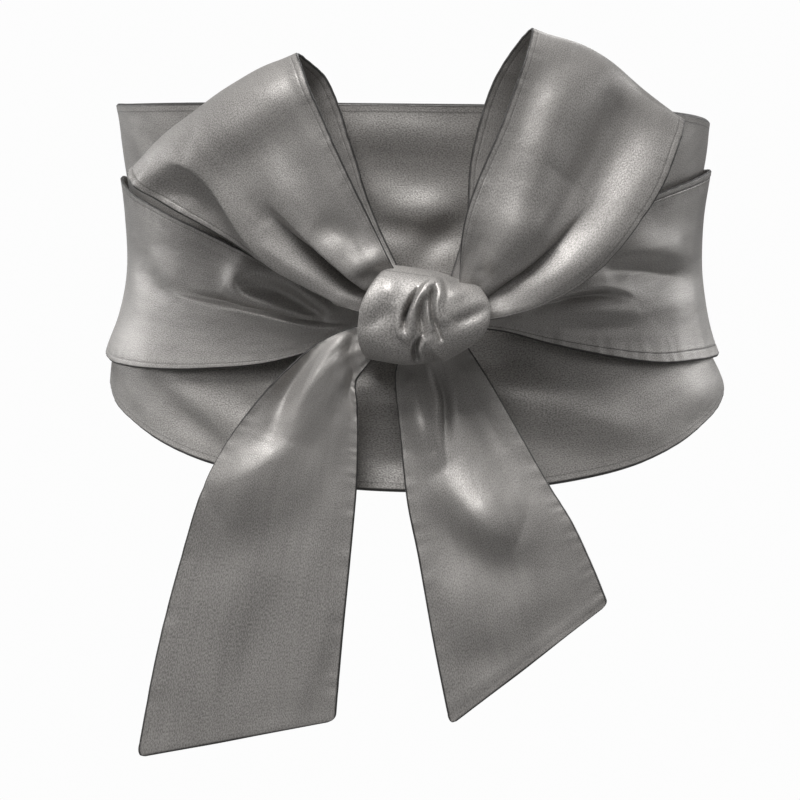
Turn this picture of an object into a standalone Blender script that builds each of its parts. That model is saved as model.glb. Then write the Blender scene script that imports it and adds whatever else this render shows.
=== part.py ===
"""A satin sash worn round the waist: a wide shaped panel, two ties crossed behind it and
wound over it to the front, and the bow that they are tied in.

Metres, +Z up, the wearer's front towards -Y. The origin is the middle of the waist."""

import math
from typing import NamedTuple

import bpy
import numpy as np

# Cloth
PANEL_WALL = 0.0020
TIE_WALL = 0.0015
SEAM_GAP = 0.0003
TIE_WIDTH = 0.085

# The figure that the panel lies on: height, half width, half depth, sway to the side
FIGURE = (
    (-0.085, 0.1398, 0.1150, 0.0014),
    (-0.058, 0.1388, 0.1120, 0.0011),
    (-0.043, 0.1382, 0.1095, 0.0006),
    (-0.029, 0.1345, 0.1060, -0.0016),
    (-0.014, 0.1298, 0.1030, -0.0010),
    (0.004, 0.1264, 0.1005, -0.0007),
    (0.030, 0.1266, 0.1000, -0.0004),
    (0.058, 0.1300, 0.1025, -0.0003),
    (0.084, 0.1332, 0.1055, -0.0004),
)
FIGURE_SQUARENESS = 2.15
WAIST_RADIUS = 0.117

# Where the panel's ends become the ties, in degrees round from the front
PANEL_END = 158.0

# The panel's cut: degrees round from the front, hem height, top height
PANEL_EDGES = (
    (-158.0, 0.004, 0.052),
    (-135.0, -0.012, 0.064),
    (-112.0, -0.030, 0.077),
    (-90.0, -0.040, 0.081),
    (-65.0, -0.0545, 0.0815),
    (-39.0, -0.070, 0.082),
    (0.0, -0.0795, 0.0815),
    (39.0, -0.0720, 0.080),
    (65.0, -0.056, 0.0765),
    (90.0, -0.042, 0.0715),
    (112.0, -0.034, 0.065),
    (135.0, -0.022, 0.052),
    (158.0, -0.014, 0.034),
)

# Each tie's way round from the panel's far end to the knot:
# degrees from the front on the side that it comes from, lower edge, upper edge,
# distance of its middle from the figure, depth of its gathers
WRAP_LEFT = (
    (158.2, -0.014, 0.034, 0.0010, 0.0000),
    (166.0, -0.018, 0.028, 0.0009, 0.0006),
    (180.0, -0.027, 0.018, 0.0009, 0.0008),
    (191.0, -0.038, 0.005, 0.0010, 0.0008),
    (201.0, -0.045, 0.001, 0.0038, 0.0004),
    (210.0, -0.0475, 0.008, 0.0040, 0.0004),
    (225.0, -0.046, 0.020, 0.0036, 0.0004),
    (248.0, -0.038, 0.040, 0.0034, 0.0002),
    (270.0, -0.030, 0.049, 0.0034, 0.0000),
    (296.0, -0.032, 0.0415, 0.0037, 0.0004),
    (322.5, -0.030, 0.0245, 0.0046, 0.0008),
    (336.0, -0.026, 0.012, 0.0066, 0.0014),
    (346.0, -0.019, 0.003, 0.0120, 0.0014),
    (353.5, -0.013, -0.002, 0.0190, 0.0008),
)
WRAP_RIGHT = (
    (158.2, 0.004, 0.052, 0.0010, 0.0000),
    (165.0, 0.004, 0.048, 0.0046, 0.0004),
    (180.0, -0.012, 0.034, 0.0050, 0.0008),
    (195.0, -0.026, 0.024, 0.0048, 0.0008),
    (212.0, -0.034, 0.024, 0.0040, 0.0004),
    (235.0, -0.034, 0.042, 0.0034, 0.0002),
    (270.0, -0.031, 0.052, 0.0034, 0.0000),
    (299.0, -0.0295, 0.048, 0.0036, 0.0003),
    (313.0, -0.0285, 0.042, 0.0042, 0.0006),
    (325.0, -0.0240, 0.033, 0.0054, 0.0010),
    (336.0, -0.0180, 0.020, 0.0078, 0.0014),
    (345.0, -0.0120, 0.009, 0.0128, 0.0014),
    (351.5, -0.0100, 0.002, 0.0188, 0.0008),
)
WRAP_GATHERS = 3.0


class StripRow(NamedTuple):
    """One line across a tie: its two edges, the depth of its gathers, and how far its
    middle bellies out to the back and up."""

    inner: tuple
    outer: tuple
    gather: float
    belly: tuple


# The bow's loops, from behind the knot out along the back layer, over the fold and back
# along the front layer. The inner edge is the one nearer the middle of the bow.
LOOP_LEFT = (
    StripRow((-0.006, -0.1275, 0.012), (-0.016, -0.1275, -0.001), 0.0003, (0.000, 0.0)),
    StripRow((-0.018, -0.1190, 0.038), (-0.052, -0.1120, 0.014), 0.0016, (0.001, 0.0)),
    StripRow((-0.027, -0.1150, 0.066), (-0.084, -0.1010, 0.033), 0.0010, (0.002, 0.001)),
    StripRow((-0.036, -0.1150, 0.091), (-0.111, -0.0910, 0.050), 0.0004, (0.002, 0.004)),
    StripRow((-0.0475, -0.1250, 0.1020), (-0.119, -0.0950, 0.0535), 0.0000, (0.000, 0.006)),
    StripRow((-0.0455, -0.1350, 0.096), (-0.115, -0.1040, 0.047), 0.0000, (-0.002, 0.0045)),
    StripRow((-0.035, -0.1415, 0.070), (-0.086, -0.1210, 0.030), 0.0008, (-0.003, 0.0)),
    StripRow((-0.022, -0.1420, 0.042), (-0.052, -0.1290, 0.010), 0.0018, (-0.002, 0.0)),
    StripRow((-0.006, -0.1370, 0.010), (-0.015, -0.1350, -0.006), 0.0003, (0.000, 0.0)),
)
LOOP_RIGHT = (
    StripRow((0.014, -0.1275, 0.008), (0.020, -0.1275, -0.006), 0.0003, (0.000, 0.0)),
    StripRow((0.021, -0.1200, 0.032), (0.058, -0.1160, 0.006), 0.0016, (0.001, 0.0)),
    StripRow((0.024, -0.1160, 0.062), (0.088, -0.1080, 0.030), 0.0010, (0.002, 0.001)),
    StripRow((0.033, -0.1170, 0.092), (0.106, -0.1030, 0.058), 0.0004, (0.002, 0.004)),
    StripRow((0.047, -0.1260, 0.1120), (0.112, -0.1070, 0.075), 0.0000, (0.000, 0.006)),
    StripRow((0.0455, -0.1370, 0.103), (0.110, -0.1160, 0.067), 0.0000, (-0.002, 0.0045)),
    StripRow((0.036, -0.1440, 0.076), (0.096, -0.1270, 0.039), 0.0008, (-0.003, 0.0)),
    StripRow((0.021, -0.1450, 0.0375), (0.066, -0.1340, 0.008), 0.0018, (-0.002, 0.0)),
    StripRow((0.018, -0.1370, 0.006), (0.020, -0.1360, -0.009), 0.0003, (0.000, 0.0)),
)
LOOP_GATHERS = 2.5

# The bow's tails, from the knot down to their slanting cut ends
TAIL_LEFT = (
    StripRow((-0.015, -0.1290, -0.019), (-0.013, -0.1300, -0.006), 0.0004, (0.000, 0.0)),
    StripRow((-0.024, -0.1300, -0.031), (-0.036, -0.1310, -0.014), 0.0016, (-0.0005, 0.0)),
    StripRow((-0.024, -0.1300, -0.043), (-0.052, -0.1310, -0.026), 0.0016, (-0.001, 0.0)),
    StripRow((-0.024, -0.1300, -0.059), (-0.069, -0.1290, -0.045), 0.0014, (-0.0015, 0.0)),
    StripRow((-0.0245, -0.1310, -0.076), (-0.0825, -0.1260, -0.066), 0.0010, (-0.002, 0.0)),
    StripRow((-0.027, -0.1320, -0.104), (-0.0955, -0.1240, -0.100), 0.0006, (-0.002, 0.0)),
    StripRow((-0.031, -0.1320, -0.145), (-0.1075, -0.1230, -0.145), 0.0004, (-0.001, 0.0)),
    StripRow((-0.0335, -0.1310, -0.1745), (-0.117, -0.1230, -0.1920), 0.0000, (0.000, 0.0)),
)
TAIL_RIGHT = (
    StripRow((-0.003, -0.1180, -0.016), (0.018, -0.1180, -0.013), 0.0006, (0.000, 0.0)),
    StripRow((-0.008, -0.1170, -0.030), (0.027, -0.1170, -0.027), 0.0016, (-0.0005, 0.0)),
    StripRow((-0.006, -0.1210, -0.053), (0.040, -0.1200, -0.049), 0.0016, (-0.0015, 0.0)),
    StripRow((-0.003, -0.1260, -0.082), (0.055, -0.1240, -0.075), 0.0010, (-0.002, 0.0)),
    StripRow((0.002, -0.1290, -0.107), (0.0655, -0.1260, -0.092), 0.0006, (-0.002, 0.0)),
    StripRow((0.008, -0.1300, -0.141), (0.074, -0.1260, -0.110), 0.0004, (-0.001, 0.0)),
    StripRow((0.0150, -0.1300, -0.1765), (0.0805, -0.1260, -0.126), 0.0000, (0.000, 0.0)),
)
TAIL_GATHERS = 2.0


class Fold(NamedTuple):
    """A soft ridge, or a trough where it is negative, along a curve through three stations.

    A station is (share of the length, share of the width, height in metres)."""

    start: tuple
    middle: tuple
    end: tuple
    width: float
    steepness: float


# Shares of the length run from behind the knot, 0, over the fold, 0.5, to the front, 1
LOOP_LEFT_FOLDS = (
    Fold((0.56, 1.00, -0.003), (0.72, 0.62, -0.006), (0.99, 0.62, -0.004), 0.0070, 0.45),
    Fold((0.60, 0.70, 0.002), (0.78, 0.42, 0.004), (0.99, 0.40, 0.003), 0.0075, 1.0),
    Fold((0.84, 0.26, -0.001), (0.92, 0.30, -0.004), (1.00, 0.34, -0.003), 0.0040, 0.5),
)
LOOP_RIGHT_FOLDS = (
    Fold((0.56, 0.45, -0.002), (0.70, 0.46, -0.006), (0.88, 0.66, -0.003), 0.0085, 0.7),
    Fold((0.60, 0.88, 0.002), (0.76, 0.78, 0.004), (0.99, 0.80, 0.003), 0.0080, 1.0),
    Fold((0.74, 0.14, 0.001), (0.84, 0.24, 0.004), (0.99, 0.30, 0.002), 0.0070, 1.0),
)
TAIL_LEFT_FOLDS = (
    Fold((0.04, 0.50, 0.002), (0.20, 0.52, 0.004), (0.42, 0.55, 0.000), 0.0070, 0.5),
    Fold((0.08, 0.30, -0.002), (0.22, 0.30, -0.003), (0.40, 0.30, 0.000), 0.0060, 1.0),
)
TAIL_RIGHT_FOLDS = (
    Fold((0.04, 0.45, -0.002), (0.16, 0.42, -0.003), (0.32, 0.34, 0.000), 0.0045, 0.4),
    Fold((0.06, 0.70, 0.001), (0.22, 0.62, 0.004), (0.46, 0.60, 0.000), 0.0090, 1.0),
)
WRAP_LEFT_FOLDS = (
    Fold((0.66, 0.42, 0.000), (0.82, 0.50, 0.003), (1.00, 0.60, 0.002), 0.0080, 0.35),
)
WRAP_RIGHT_FOLDS = (
    Fold((0.66, 0.55, -0.000), (0.78, 0.55, -0.0015), (0.96, 0.50, -0.001), 0.0080, 0.6),
    Fold((0.72, 0.36, 0.000), (0.86, 0.40, 0.003), (1.00, 0.40, 0.002), 0.0070, 0.8),
)


class KnotRing(NamedTuple):
    """One ring round the knot: its top and bottom as (x, z), its half depth, and how far
    its front and back stand to the side of the line between them."""

    top: tuple
    bottom: tuple
    half_depth: float
    bulge: float


KNOT_Y = -0.1320
KNOT = (
    KnotRing((-0.0120, 0.0120), (-0.0190, -0.0170), 0.0120, -0.0040),
    KnotRing((-0.0118, 0.0162), (-0.0203, -0.0216), 0.0152, -0.0066),
    KnotRing((-0.0065, 0.0160), (-0.0125, -0.0236), 0.0174, -0.0040),
    KnotRing((0.0020, 0.0148), (-0.0030, -0.0248), 0.0182, -0.0006),
    KnotRing((0.0105, 0.0132), (0.0070, -0.0236), 0.0180, 0.0000),
    KnotRing((0.0180, 0.0104), (0.0145, -0.0218), 0.0172, 0.0022),
    KnotRing((0.0248, 0.0092), (0.0204, -0.0182), 0.0148, 0.0076),
    KnotRing((0.0242, 0.0058), (0.0208, -0.0132), 0.0116, 0.0058),
)
KNOT_HOLLOW = 0.004
KNOT_FULLNESS = 0.88
# Folds on the front of the knot. A station is (x, z, height), in metres
KNOT_FOLDS = (
    Fold((0.0015, 0.0058, -0.003), (-0.0025, 0.0000, -0.006), (-0.0043, -0.0082, -0.003), 0.0015, 1.0),
    Fold((0.0000, -0.0085, 0.001), (0.0008, 0.0030, 0.0015), (0.0085, 0.0096, 0.0015), 0.0016, 1.0),
    Fold((0.0034, 0.0010, -0.002), (0.0026, -0.0050, -0.0042), (0.0032, -0.0115, -0.002), 0.0015, 1.0),
    Fold((0.0072, 0.0060, -0.003), (0.0070, -0.0030, -0.006), (0.0102, -0.0135, -0.003), 0.0015, 1.0),
    Fold((0.0104, 0.0070, 0.001), (0.0100, 0.0000, 0.0018), (0.0130, -0.0060, 0.001), 0.0018, 1.0),
    Fold((0.0026, -0.0130, -0.002), (-0.0002, -0.0180, -0.005), (0.0006, -0.0235, -0.003), 0.0014, 1.0),
    Fold((0.0068, -0.0150, 0.001), (0.0096, -0.0185, 0.002), (0.0132, -0.0225, 0.002), 0.0020, 1.0),
    Fold((-0.0110, 0.0010, -0.001), (-0.0160, -0.0030, -0.0015), (-0.0205, -0.0072, -0.001), 0.0036, 1.0),
    Fold((0.0155, -0.0060, 0.0), (0.0210, -0.0040, -0.0012), (0.0270, -0.0016, -0.001), 0.0030, 1.0),
)

# How finely each piece is meshed: lines along, lines across
PANEL_LINES = (61, 14)
WRAP_LINES = (53, 12)
LOOP_LINES = (31, 13)
TAIL_LINES = (17, 10)
KNOT_LINES = (31, 44)
KNOT_CROWDING = 0.55
FOLD_SAMPLES = 24

SATIN_COLOUR = (0.215, 0.200, 0.188, 1.0)


def table_values(table, places):
    """Smooth values of a table's columns at places along its first column."""
    rows = np.asarray(table, float)
    x, y = rows[:, 0], rows[:, 1:]
    slopes = np.gradient(y, x, axis=0)
    places = np.clip(places, x[0], x[-1])
    below = np.clip(np.searchsorted(x, places, side="right") - 1, 0, len(x) - 2)
    step = (x[below + 1] - x[below])[..., None]
    t = (places - x[below])[..., None] / step
    return (
        (2 * t**3 - 3 * t**2 + 1) * y[below]
        + (t**3 - 2 * t**2 + t) * step * slopes[below]
        + (3 * t**2 - 2 * t**3) * y[below + 1]
        + (t**3 - t**2) * step * slopes[below + 1]
    )


def on_figure(degrees, heights, out):
    """Points that far outside the figure, at angles from the front and at heights."""
    half_width, half_depth, sway = np.moveaxis(table_values(FIGURE, heights), -1, 0)
    side, front = np.sin(np.radians(degrees)), np.cos(np.radians(degrees))
    power = FIGURE_SQUARENESS
    fuller = (np.abs(side) ** power + np.abs(front) ** power) ** (-1 / power)
    x, y = half_width * side * fuller, -half_depth * front * fuller
    across, along = side / half_width, -front / half_depth
    length = np.hypot(across, along)
    x, y = x + out * across / length, y + out * along / length
    return np.stack([x + sway, y, heights], axis=-1)


def grid_normals(grid):
    """The unit normal at each point of a grid of points."""
    normals = np.cross(np.gradient(grid, axis=0), np.gradient(grid, axis=1))
    return normals / np.linalg.norm(normals, axis=-1, keepdims=True)


def fold_heights(along, across, length, width, folds):
    """The height that a list of folds adds at each place of a grid."""
    total = np.zeros_like(along)
    t = np.linspace(0, 1, FOLD_SAMPLES)[:, None]
    for fold in folds:
        stations = [np.array(s) for s in (fold.start, fold.middle, fold.end)]
        handle = 2 * stations[1] - (stations[0] + stations[2]) / 2
        line = (1 - t) ** 2 * stations[0] + 2 * t * (1 - t) * handle + t**2 * stations[2]
        away_along = (along[..., None] - line[:, 0]) * length
        away_across = (across[..., None] - line[:, 1]) * width
        nearest = np.argmin(away_along**2 + away_across**2, axis=-1)
        pick = nearest[..., None]
        near_along = np.take_along_axis(away_along, pick, -1)[..., 0]
        near_across = np.take_along_axis(away_across, pick, -1)[..., 0]
        reach = np.where(near_across > 0, fold.width * fold.steepness, fold.width)
        profile = np.exp(-(near_along / fold.width) ** 2 - (near_across / reach) ** 2)
        total += line[:, 2][nearest] * profile
    return total


def faced_outwards(points, faces):
    """The faces, turned round if they enclose the points inside out."""
    triangles = [(f[0], f[i], f[i + 1]) for f in faces for i in range(1, len(f) - 1)]
    a, b, c = (points[[t[k] for t in triangles]] for k in range(3))
    volume = np.einsum("ij,ij->i", a, np.cross(b, c)).sum()
    return [tuple(reversed(f)) for f in faces] if volume < 0 else faces


def add_object(name, points, faces):
    """A named object with its own satin material, shaded smooth."""
    mesh = bpy.data.meshes.new(name)
    mesh.from_pydata([tuple(p) for p in points], [], faced_outwards(points, faces))
    mesh.update()
    mesh.shade_smooth()
    mesh.set_sharp_from_angle(angle=math.radians(50))
    mesh.materials.append(satin(name))
    made = bpy.data.objects.new(name, mesh)
    bpy.context.scene.collection.objects.link(made)
    return made


def satin(name):
    """A plain grey satin for one piece."""
    material = bpy.data.materials.new(name)
    material.use_nodes = True
    shader = material.node_tree.nodes["Principled BSDF"]
    shader.inputs["Base Color"].default_value = SATIN_COLOUR
    shader.inputs["Roughness"].default_value = 0.42
    shader.inputs["Metallic"].default_value = 0.25
    return material


def cloth_wall(name, middle, thickness):
    """A closed wall of cloth that thick round a grid of points on its middle."""
    offset = grid_normals(middle) * thickness / 2
    rows, columns = middle.shape[:2]
    points = np.concatenate([(middle + offset).reshape(-1, 3), (middle - offset).reshape(-1, 3)])
    under = rows * columns

    def at(row, column, layer):
        return row * columns + column + layer * under

    faces = []
    for r in range(rows - 1):
        for c in range(columns - 1):
            quad = ((r, c), (r, c + 1), (r + 1, c + 1), (r + 1, c))
            faces.append(tuple(at(*corner, 0) for corner in quad))
            faces.append(tuple(at(*corner, 1) for corner in reversed(quad)))
    rim = [(0, c) for c in range(columns)]
    rim += [(r, columns - 1) for r in range(1, rows)]
    rim += [(rows - 1, c) for c in range(columns - 2, -1, -1)]
    rim += [(r, 0) for r in range(rows - 2, 0, -1)]
    for here, beyond in zip(rim, rim[1:] + rim[:1]):
        faces.append((at(*here, 0), at(*here, 1), at(*beyond, 1), at(*beyond, 0)))
    return add_object(name, points, faces)


def panel_grid():
    """The middle of the panel's wall, from one back end round the front to the other."""
    degrees, share = np.meshgrid(
        np.linspace(-PANEL_END, PANEL_END, PANEL_LINES[0]),
        np.linspace(0, 1, PANEL_LINES[1]),
        indexing="ij",
    )
    hem, top = np.moveaxis(table_values(PANEL_EDGES, degrees), -1, 0)
    return on_figure(degrees, hem + (top - hem) * share, PANEL_WALL / 2)


def wrap_grid(rows, side, folds):
    """The middle of one tie's wall round the waist. side is 1 where it comes round from
    the right to the left of the front, and -1 the other way."""
    along, across = np.meshgrid(
        np.linspace(0, 1, WRAP_LINES[0]), np.linspace(0, 1, WRAP_LINES[1]), indexing="ij"
    )
    first, last = rows[0][0], rows[-1][0]
    degrees = first + (last - first) * along
    lower, upper, out, gather = np.moveaxis(table_values(rows, degrees), -1, 0)
    ripple = gather * (1 - np.cos(2 * math.pi * WRAP_GATHERS * across))
    length = math.radians(last - first) * WAIST_RADIUS
    out = out + ripple + np.maximum(0, fold_heights(along, across, length, TIE_WIDTH, folds))
    return on_figure(side * degrees, lower + (upper - lower) * across, out)


def strip_grid(rows, lines, gathers, folds):
    """The middle of a tie's wall through a table of its rows, with gathers and folds."""
    along, across = np.meshgrid(
        np.linspace(0, 1, lines[0]), np.linspace(0, 1, lines[1]), indexing="ij"
    )
    stations = np.linspace(0, 1, len(rows))
    table = [(at, *r.inner, *r.outer, r.gather, *r.belly) for at, r in zip(stations, rows)]
    values = table_values(table, along)
    inner, outer = values[..., 0:3], values[..., 3:6]
    grid = inner + (outer - inner) * across[..., None]
    grid[..., 1:3] += values[..., 7:9] * np.sin(math.pi * across)[..., None]
    middle_line = grid[:, lines[1] // 2]
    length = np.linalg.norm(np.diff(middle_line, axis=0), axis=1).sum()
    raised = values[..., 6] * np.sin(2 * math.pi * gathers * across)
    raised = raised + fold_heights(along, across, length, TIE_WIDTH, folds)
    return grid + outward(grid) * raised[..., None]


def outward(grid):
    """A strip's normals, on the side that the front layer shows to the front."""
    normals = grid_normals(grid)
    shown = normals[-len(normals) // 4, normals.shape[1] // 2]
    return normals if shown[1] < 0 else -normals


def crowded(shares, centre):
    """Shares of a length or a girth, closer together about a centre."""
    turn = 2 * math.pi
    return shares - KNOT_CROWDING * np.sin(turn * (shares - centre)) / turn


def knot_surface():
    """The knot as one closed body, dished at its two mouths: its points and faces."""
    stations = np.linspace(0, 1, len(KNOT))
    table = [(at, *k.top, *k.bottom, k.half_depth, k.bulge) for at, k in zip(stations, KNOT)]
    rows, columns = KNOT_LINES
    along, around = np.meshgrid(
        crowded(np.linspace(0, 1, rows), 0.5),
        crowded(np.linspace(0, 1, columns, endpoint=False), 0.25),
        indexing="ij",
    )
    top_x, top_z, bottom_x, bottom_z, half_depth, bulge = np.moveaxis(
        table_values(table, along), -1, 0
    )
    up, front = np.cos(2 * math.pi * around), np.sin(2 * math.pi * around)
    full_up = np.sign(up) * np.abs(up) ** KNOT_FULLNESS
    full_front = np.sign(front) * np.abs(front) ** KNOT_FULLNESS
    x = (top_x + bottom_x) / 2 + (top_x - bottom_x) / 2 * up + bulge * front**2
    z = (top_z + bottom_z) / 2 + (top_z - bottom_z) / 2 * full_up
    y = KNOT_Y - half_depth * full_front
    raised = fold_heights(x, z, 1.0, 1.0, KNOT_FOLDS) * np.sqrt(np.maximum(0, front))
    centre = np.stack([(top_x + bottom_x) / 2, np.full_like(x, KNOT_Y), (top_z + bottom_z) / 2], -1)
    rings = np.stack([x, y, z], -1)
    away = rings - centre
    rings += away / np.linalg.norm(away, axis=-1, keepdims=True) * raised[..., None]

    ends = rings[[0, -1]].mean(axis=1)
    inwards = rings[rows // 2].mean(axis=0) - ends
    inwards /= np.linalg.norm(inwards, axis=1, keepdims=True)
    points = np.concatenate([rings.reshape(-1, 3), ends + inwards * KNOT_HOLLOW])
    left, right, last = rows * columns, rows * columns + 1, (rows - 1) * columns
    faces = []
    for c in range(columns):
        beyond = (c + 1) % columns
        for r in range(rows - 1):
            here, after = r * columns, (r + 1) * columns
            faces.append((here + c, here + beyond, after + beyond, after + c))
        faces.append((left, beyond, c))
        faces.append((right, last + c, last + beyond))
    return points, faced_outwards(points, faces)


def grown(points, faces, distance):
    """The points of a closed body moved out so that each face lies that much further out."""
    across = [(points[f[2]] - points[f[0]], points[f[-1]] - points[f[1]]) for f in faces]
    normals = np.array([np.cross(a, b) for a, b in across])
    normals /= np.linalg.norm(normals, axis=1, keepdims=True)
    around = [[] for _ in points]
    for normal, face in zip(normals, faces):
        for corner in face:
            around[corner].append(normal)
    moved = points.copy()
    for place, beside in enumerate(around):
        outwards = np.mean(beside, axis=0)
        moved[place] += outwards * distance / min(np.dot(beside, outwards))
    return moved


def cut_by(piece, cutter):
    """Ends a piece where it meets the knot."""
    cut = piece.modifiers.new("knot", "BOOLEAN")
    cut.operation = "DIFFERENCE"
    cut.object = cutter


def main():
    for old in list(bpy.data.objects):
        bpy.data.objects.remove(old)

    cloth_wall("panel", panel_grid(), PANEL_WALL)
    wraps = (
        cloth_wall("wrap_left", wrap_grid(WRAP_LEFT, 1, WRAP_LEFT_FOLDS), TIE_WALL),
        cloth_wall("wrap_right", wrap_grid(WRAP_RIGHT, -1, WRAP_RIGHT_FOLDS), TIE_WALL),
    )
    points, faces = knot_surface()
    add_object("knot", points, faces)
    cutter = add_object("knot_clearance", grown(points, faces, SEAM_GAP), faces)
    cutter.hide_render = True
    cutter.display_type = "WIRE"
    strips = (
        ("loop_left", LOOP_LEFT, LOOP_LINES, LOOP_GATHERS, LOOP_LEFT_FOLDS),
        ("loop_right", LOOP_RIGHT, LOOP_LINES, LOOP_GATHERS, LOOP_RIGHT_FOLDS),
        ("tail_left", TAIL_LEFT, TAIL_LINES, TAIL_GATHERS, TAIL_LEFT_FOLDS),
        ("tail_right", TAIL_RIGHT, TAIL_LINES, TAIL_GATHERS, TAIL_RIGHT_FOLDS),
    )
    for name, rows, lines, gathers, folds in strips:
        cut_by(cloth_wall(name, strip_grid(rows, lines, gathers, folds), TIE_WALL), cutter)
    for wrap in wraps:
        cut_by(wrap, cutter)


main()
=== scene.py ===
"""The looks of a satin waist sash, worn: a wide shaped panel, two ties that cross behind and
come round over it, and the large bow that they are tied in.

Metres, +Z up, the bow towards -Y. Creases are given in millimetres."""

import logging
import math
from dataclasses import dataclass, replace
from enum import Enum
from typing import NamedTuple

import bpy
import numpy as np
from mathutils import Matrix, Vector


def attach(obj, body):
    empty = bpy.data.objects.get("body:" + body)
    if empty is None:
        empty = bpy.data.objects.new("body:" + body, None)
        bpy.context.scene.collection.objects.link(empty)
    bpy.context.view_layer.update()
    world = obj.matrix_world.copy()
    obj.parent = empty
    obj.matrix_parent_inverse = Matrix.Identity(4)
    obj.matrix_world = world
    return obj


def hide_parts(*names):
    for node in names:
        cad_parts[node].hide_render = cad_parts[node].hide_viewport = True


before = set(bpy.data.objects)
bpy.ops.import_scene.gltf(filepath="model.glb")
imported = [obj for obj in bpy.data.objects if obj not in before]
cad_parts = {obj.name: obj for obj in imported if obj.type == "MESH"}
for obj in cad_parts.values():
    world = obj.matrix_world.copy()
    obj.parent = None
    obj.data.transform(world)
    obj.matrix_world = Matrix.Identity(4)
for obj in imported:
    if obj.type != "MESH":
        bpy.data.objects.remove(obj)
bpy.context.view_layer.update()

log = logging.getLogger("satin sash")

MM = 0.001
BODY = "root"
CLOTH_UV = "cloth"
HEM_UV = "hem"

# Widths and walls of the real cloth, and the waist's mean radius, in metres
TIE_WIDTH = 0.085
TIE_WALL = 0.0010
PANEL_WALL = 0.0016
WAIST_RADIUS = 0.117

# How far round from the front the panel's ends lie, in degrees
PANEL_END = 158.0

# Mesh lines: their spacing in the middle of a cloth, where it is hidden, and near its edges
MIDDLE_STEP = 0.72 * MM
HIDDEN_STEP = 1.70 * MM
EDGE_STEP = 0.36 * MM
EDGE_ZONE = 3.6 * MM

# How far a wall's rounded rim stands out, as a share of the wall
RIM_SWELL = 0.42

# The points on a crease's line for each of its stations, and how many of its widths, shared
# by its point, it reaches
LINE_POINTS = 8
CREASE_REACH = 6.4


def smooth_table(table: np.ndarray, places: np.ndarray) -> np.ndarray:
    """Reads smooth values of a table's columns at places along its first column.

    Args:
        table: rows of a place followed by that place's values.
        places: where the values are wanted, of any shape.

    Returns:
        The values, with one more axis than places.
    """
    rows = np.asarray(table, float)
    x, y = rows[:, 0], rows[:, 1:]
    slopes = np.gradient(y, x, axis=0)
    places = np.clip(places, x[0], x[-1])
    below = np.clip(np.searchsorted(x, places, side="right") - 1, 0, len(x) - 2)
    step = (x[below + 1] - x[below])[..., None]
    t = (places - x[below])[..., None] / step
    return (
        (2 * t**3 - 3 * t**2 + 1) * y[below]
        + (t**3 - 2 * t**2 + t) * step * slopes[below]
        + (3 * t**2 - 2 * t**3) * y[below + 1]
        + (t**3 - t**2) * step * slopes[below + 1]
    )


def unit(vectors: np.ndarray) -> np.ndarray:
    """The vectors, each one unit long."""
    return vectors / np.maximum(np.linalg.norm(vectors, axis=-1, keepdims=True), 1e-12)


def grid_normals(grid: np.ndarray) -> np.ndarray:
    """The unit normal at each point of a grid of points."""
    return unit(np.cross(np.gradient(grid, axis=0), np.gradient(grid, axis=1)))


def eased(values: np.ndarray, low: float, high: float) -> np.ndarray:
    """Values turned into a share that rises smoothly from 0 at low to 1 at high."""
    t = np.clip((values - low) / (high - low), 0, 1)
    return t * t * (3 - 2 * t)


def relaxed(grid: np.ndarray, rounds: int) -> np.ndarray:
    """Softens a grid of points along both of its directions, its edges left in place.

    Args:
        grid: the points.
        rounds: how many times each point moves towards its neighbours.

    Returns:
        The softened points.
    """
    soft = grid.copy()
    for _ in range(rounds):
        around = soft[:-2, 1:-1] + soft[2:, 1:-1] + soft[1:-1, :-2] + soft[1:-1, 2:]
        soft[1:-1, 1:-1] = soft[1:-1, 1:-1] / 2 + around / 8
    return soft


class Chart(Enum):
    """What a crease's stations are measured in."""

    FRONT = "across and up as seen from the front"
    CLOTH = "along and across the cloth itself"


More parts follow.
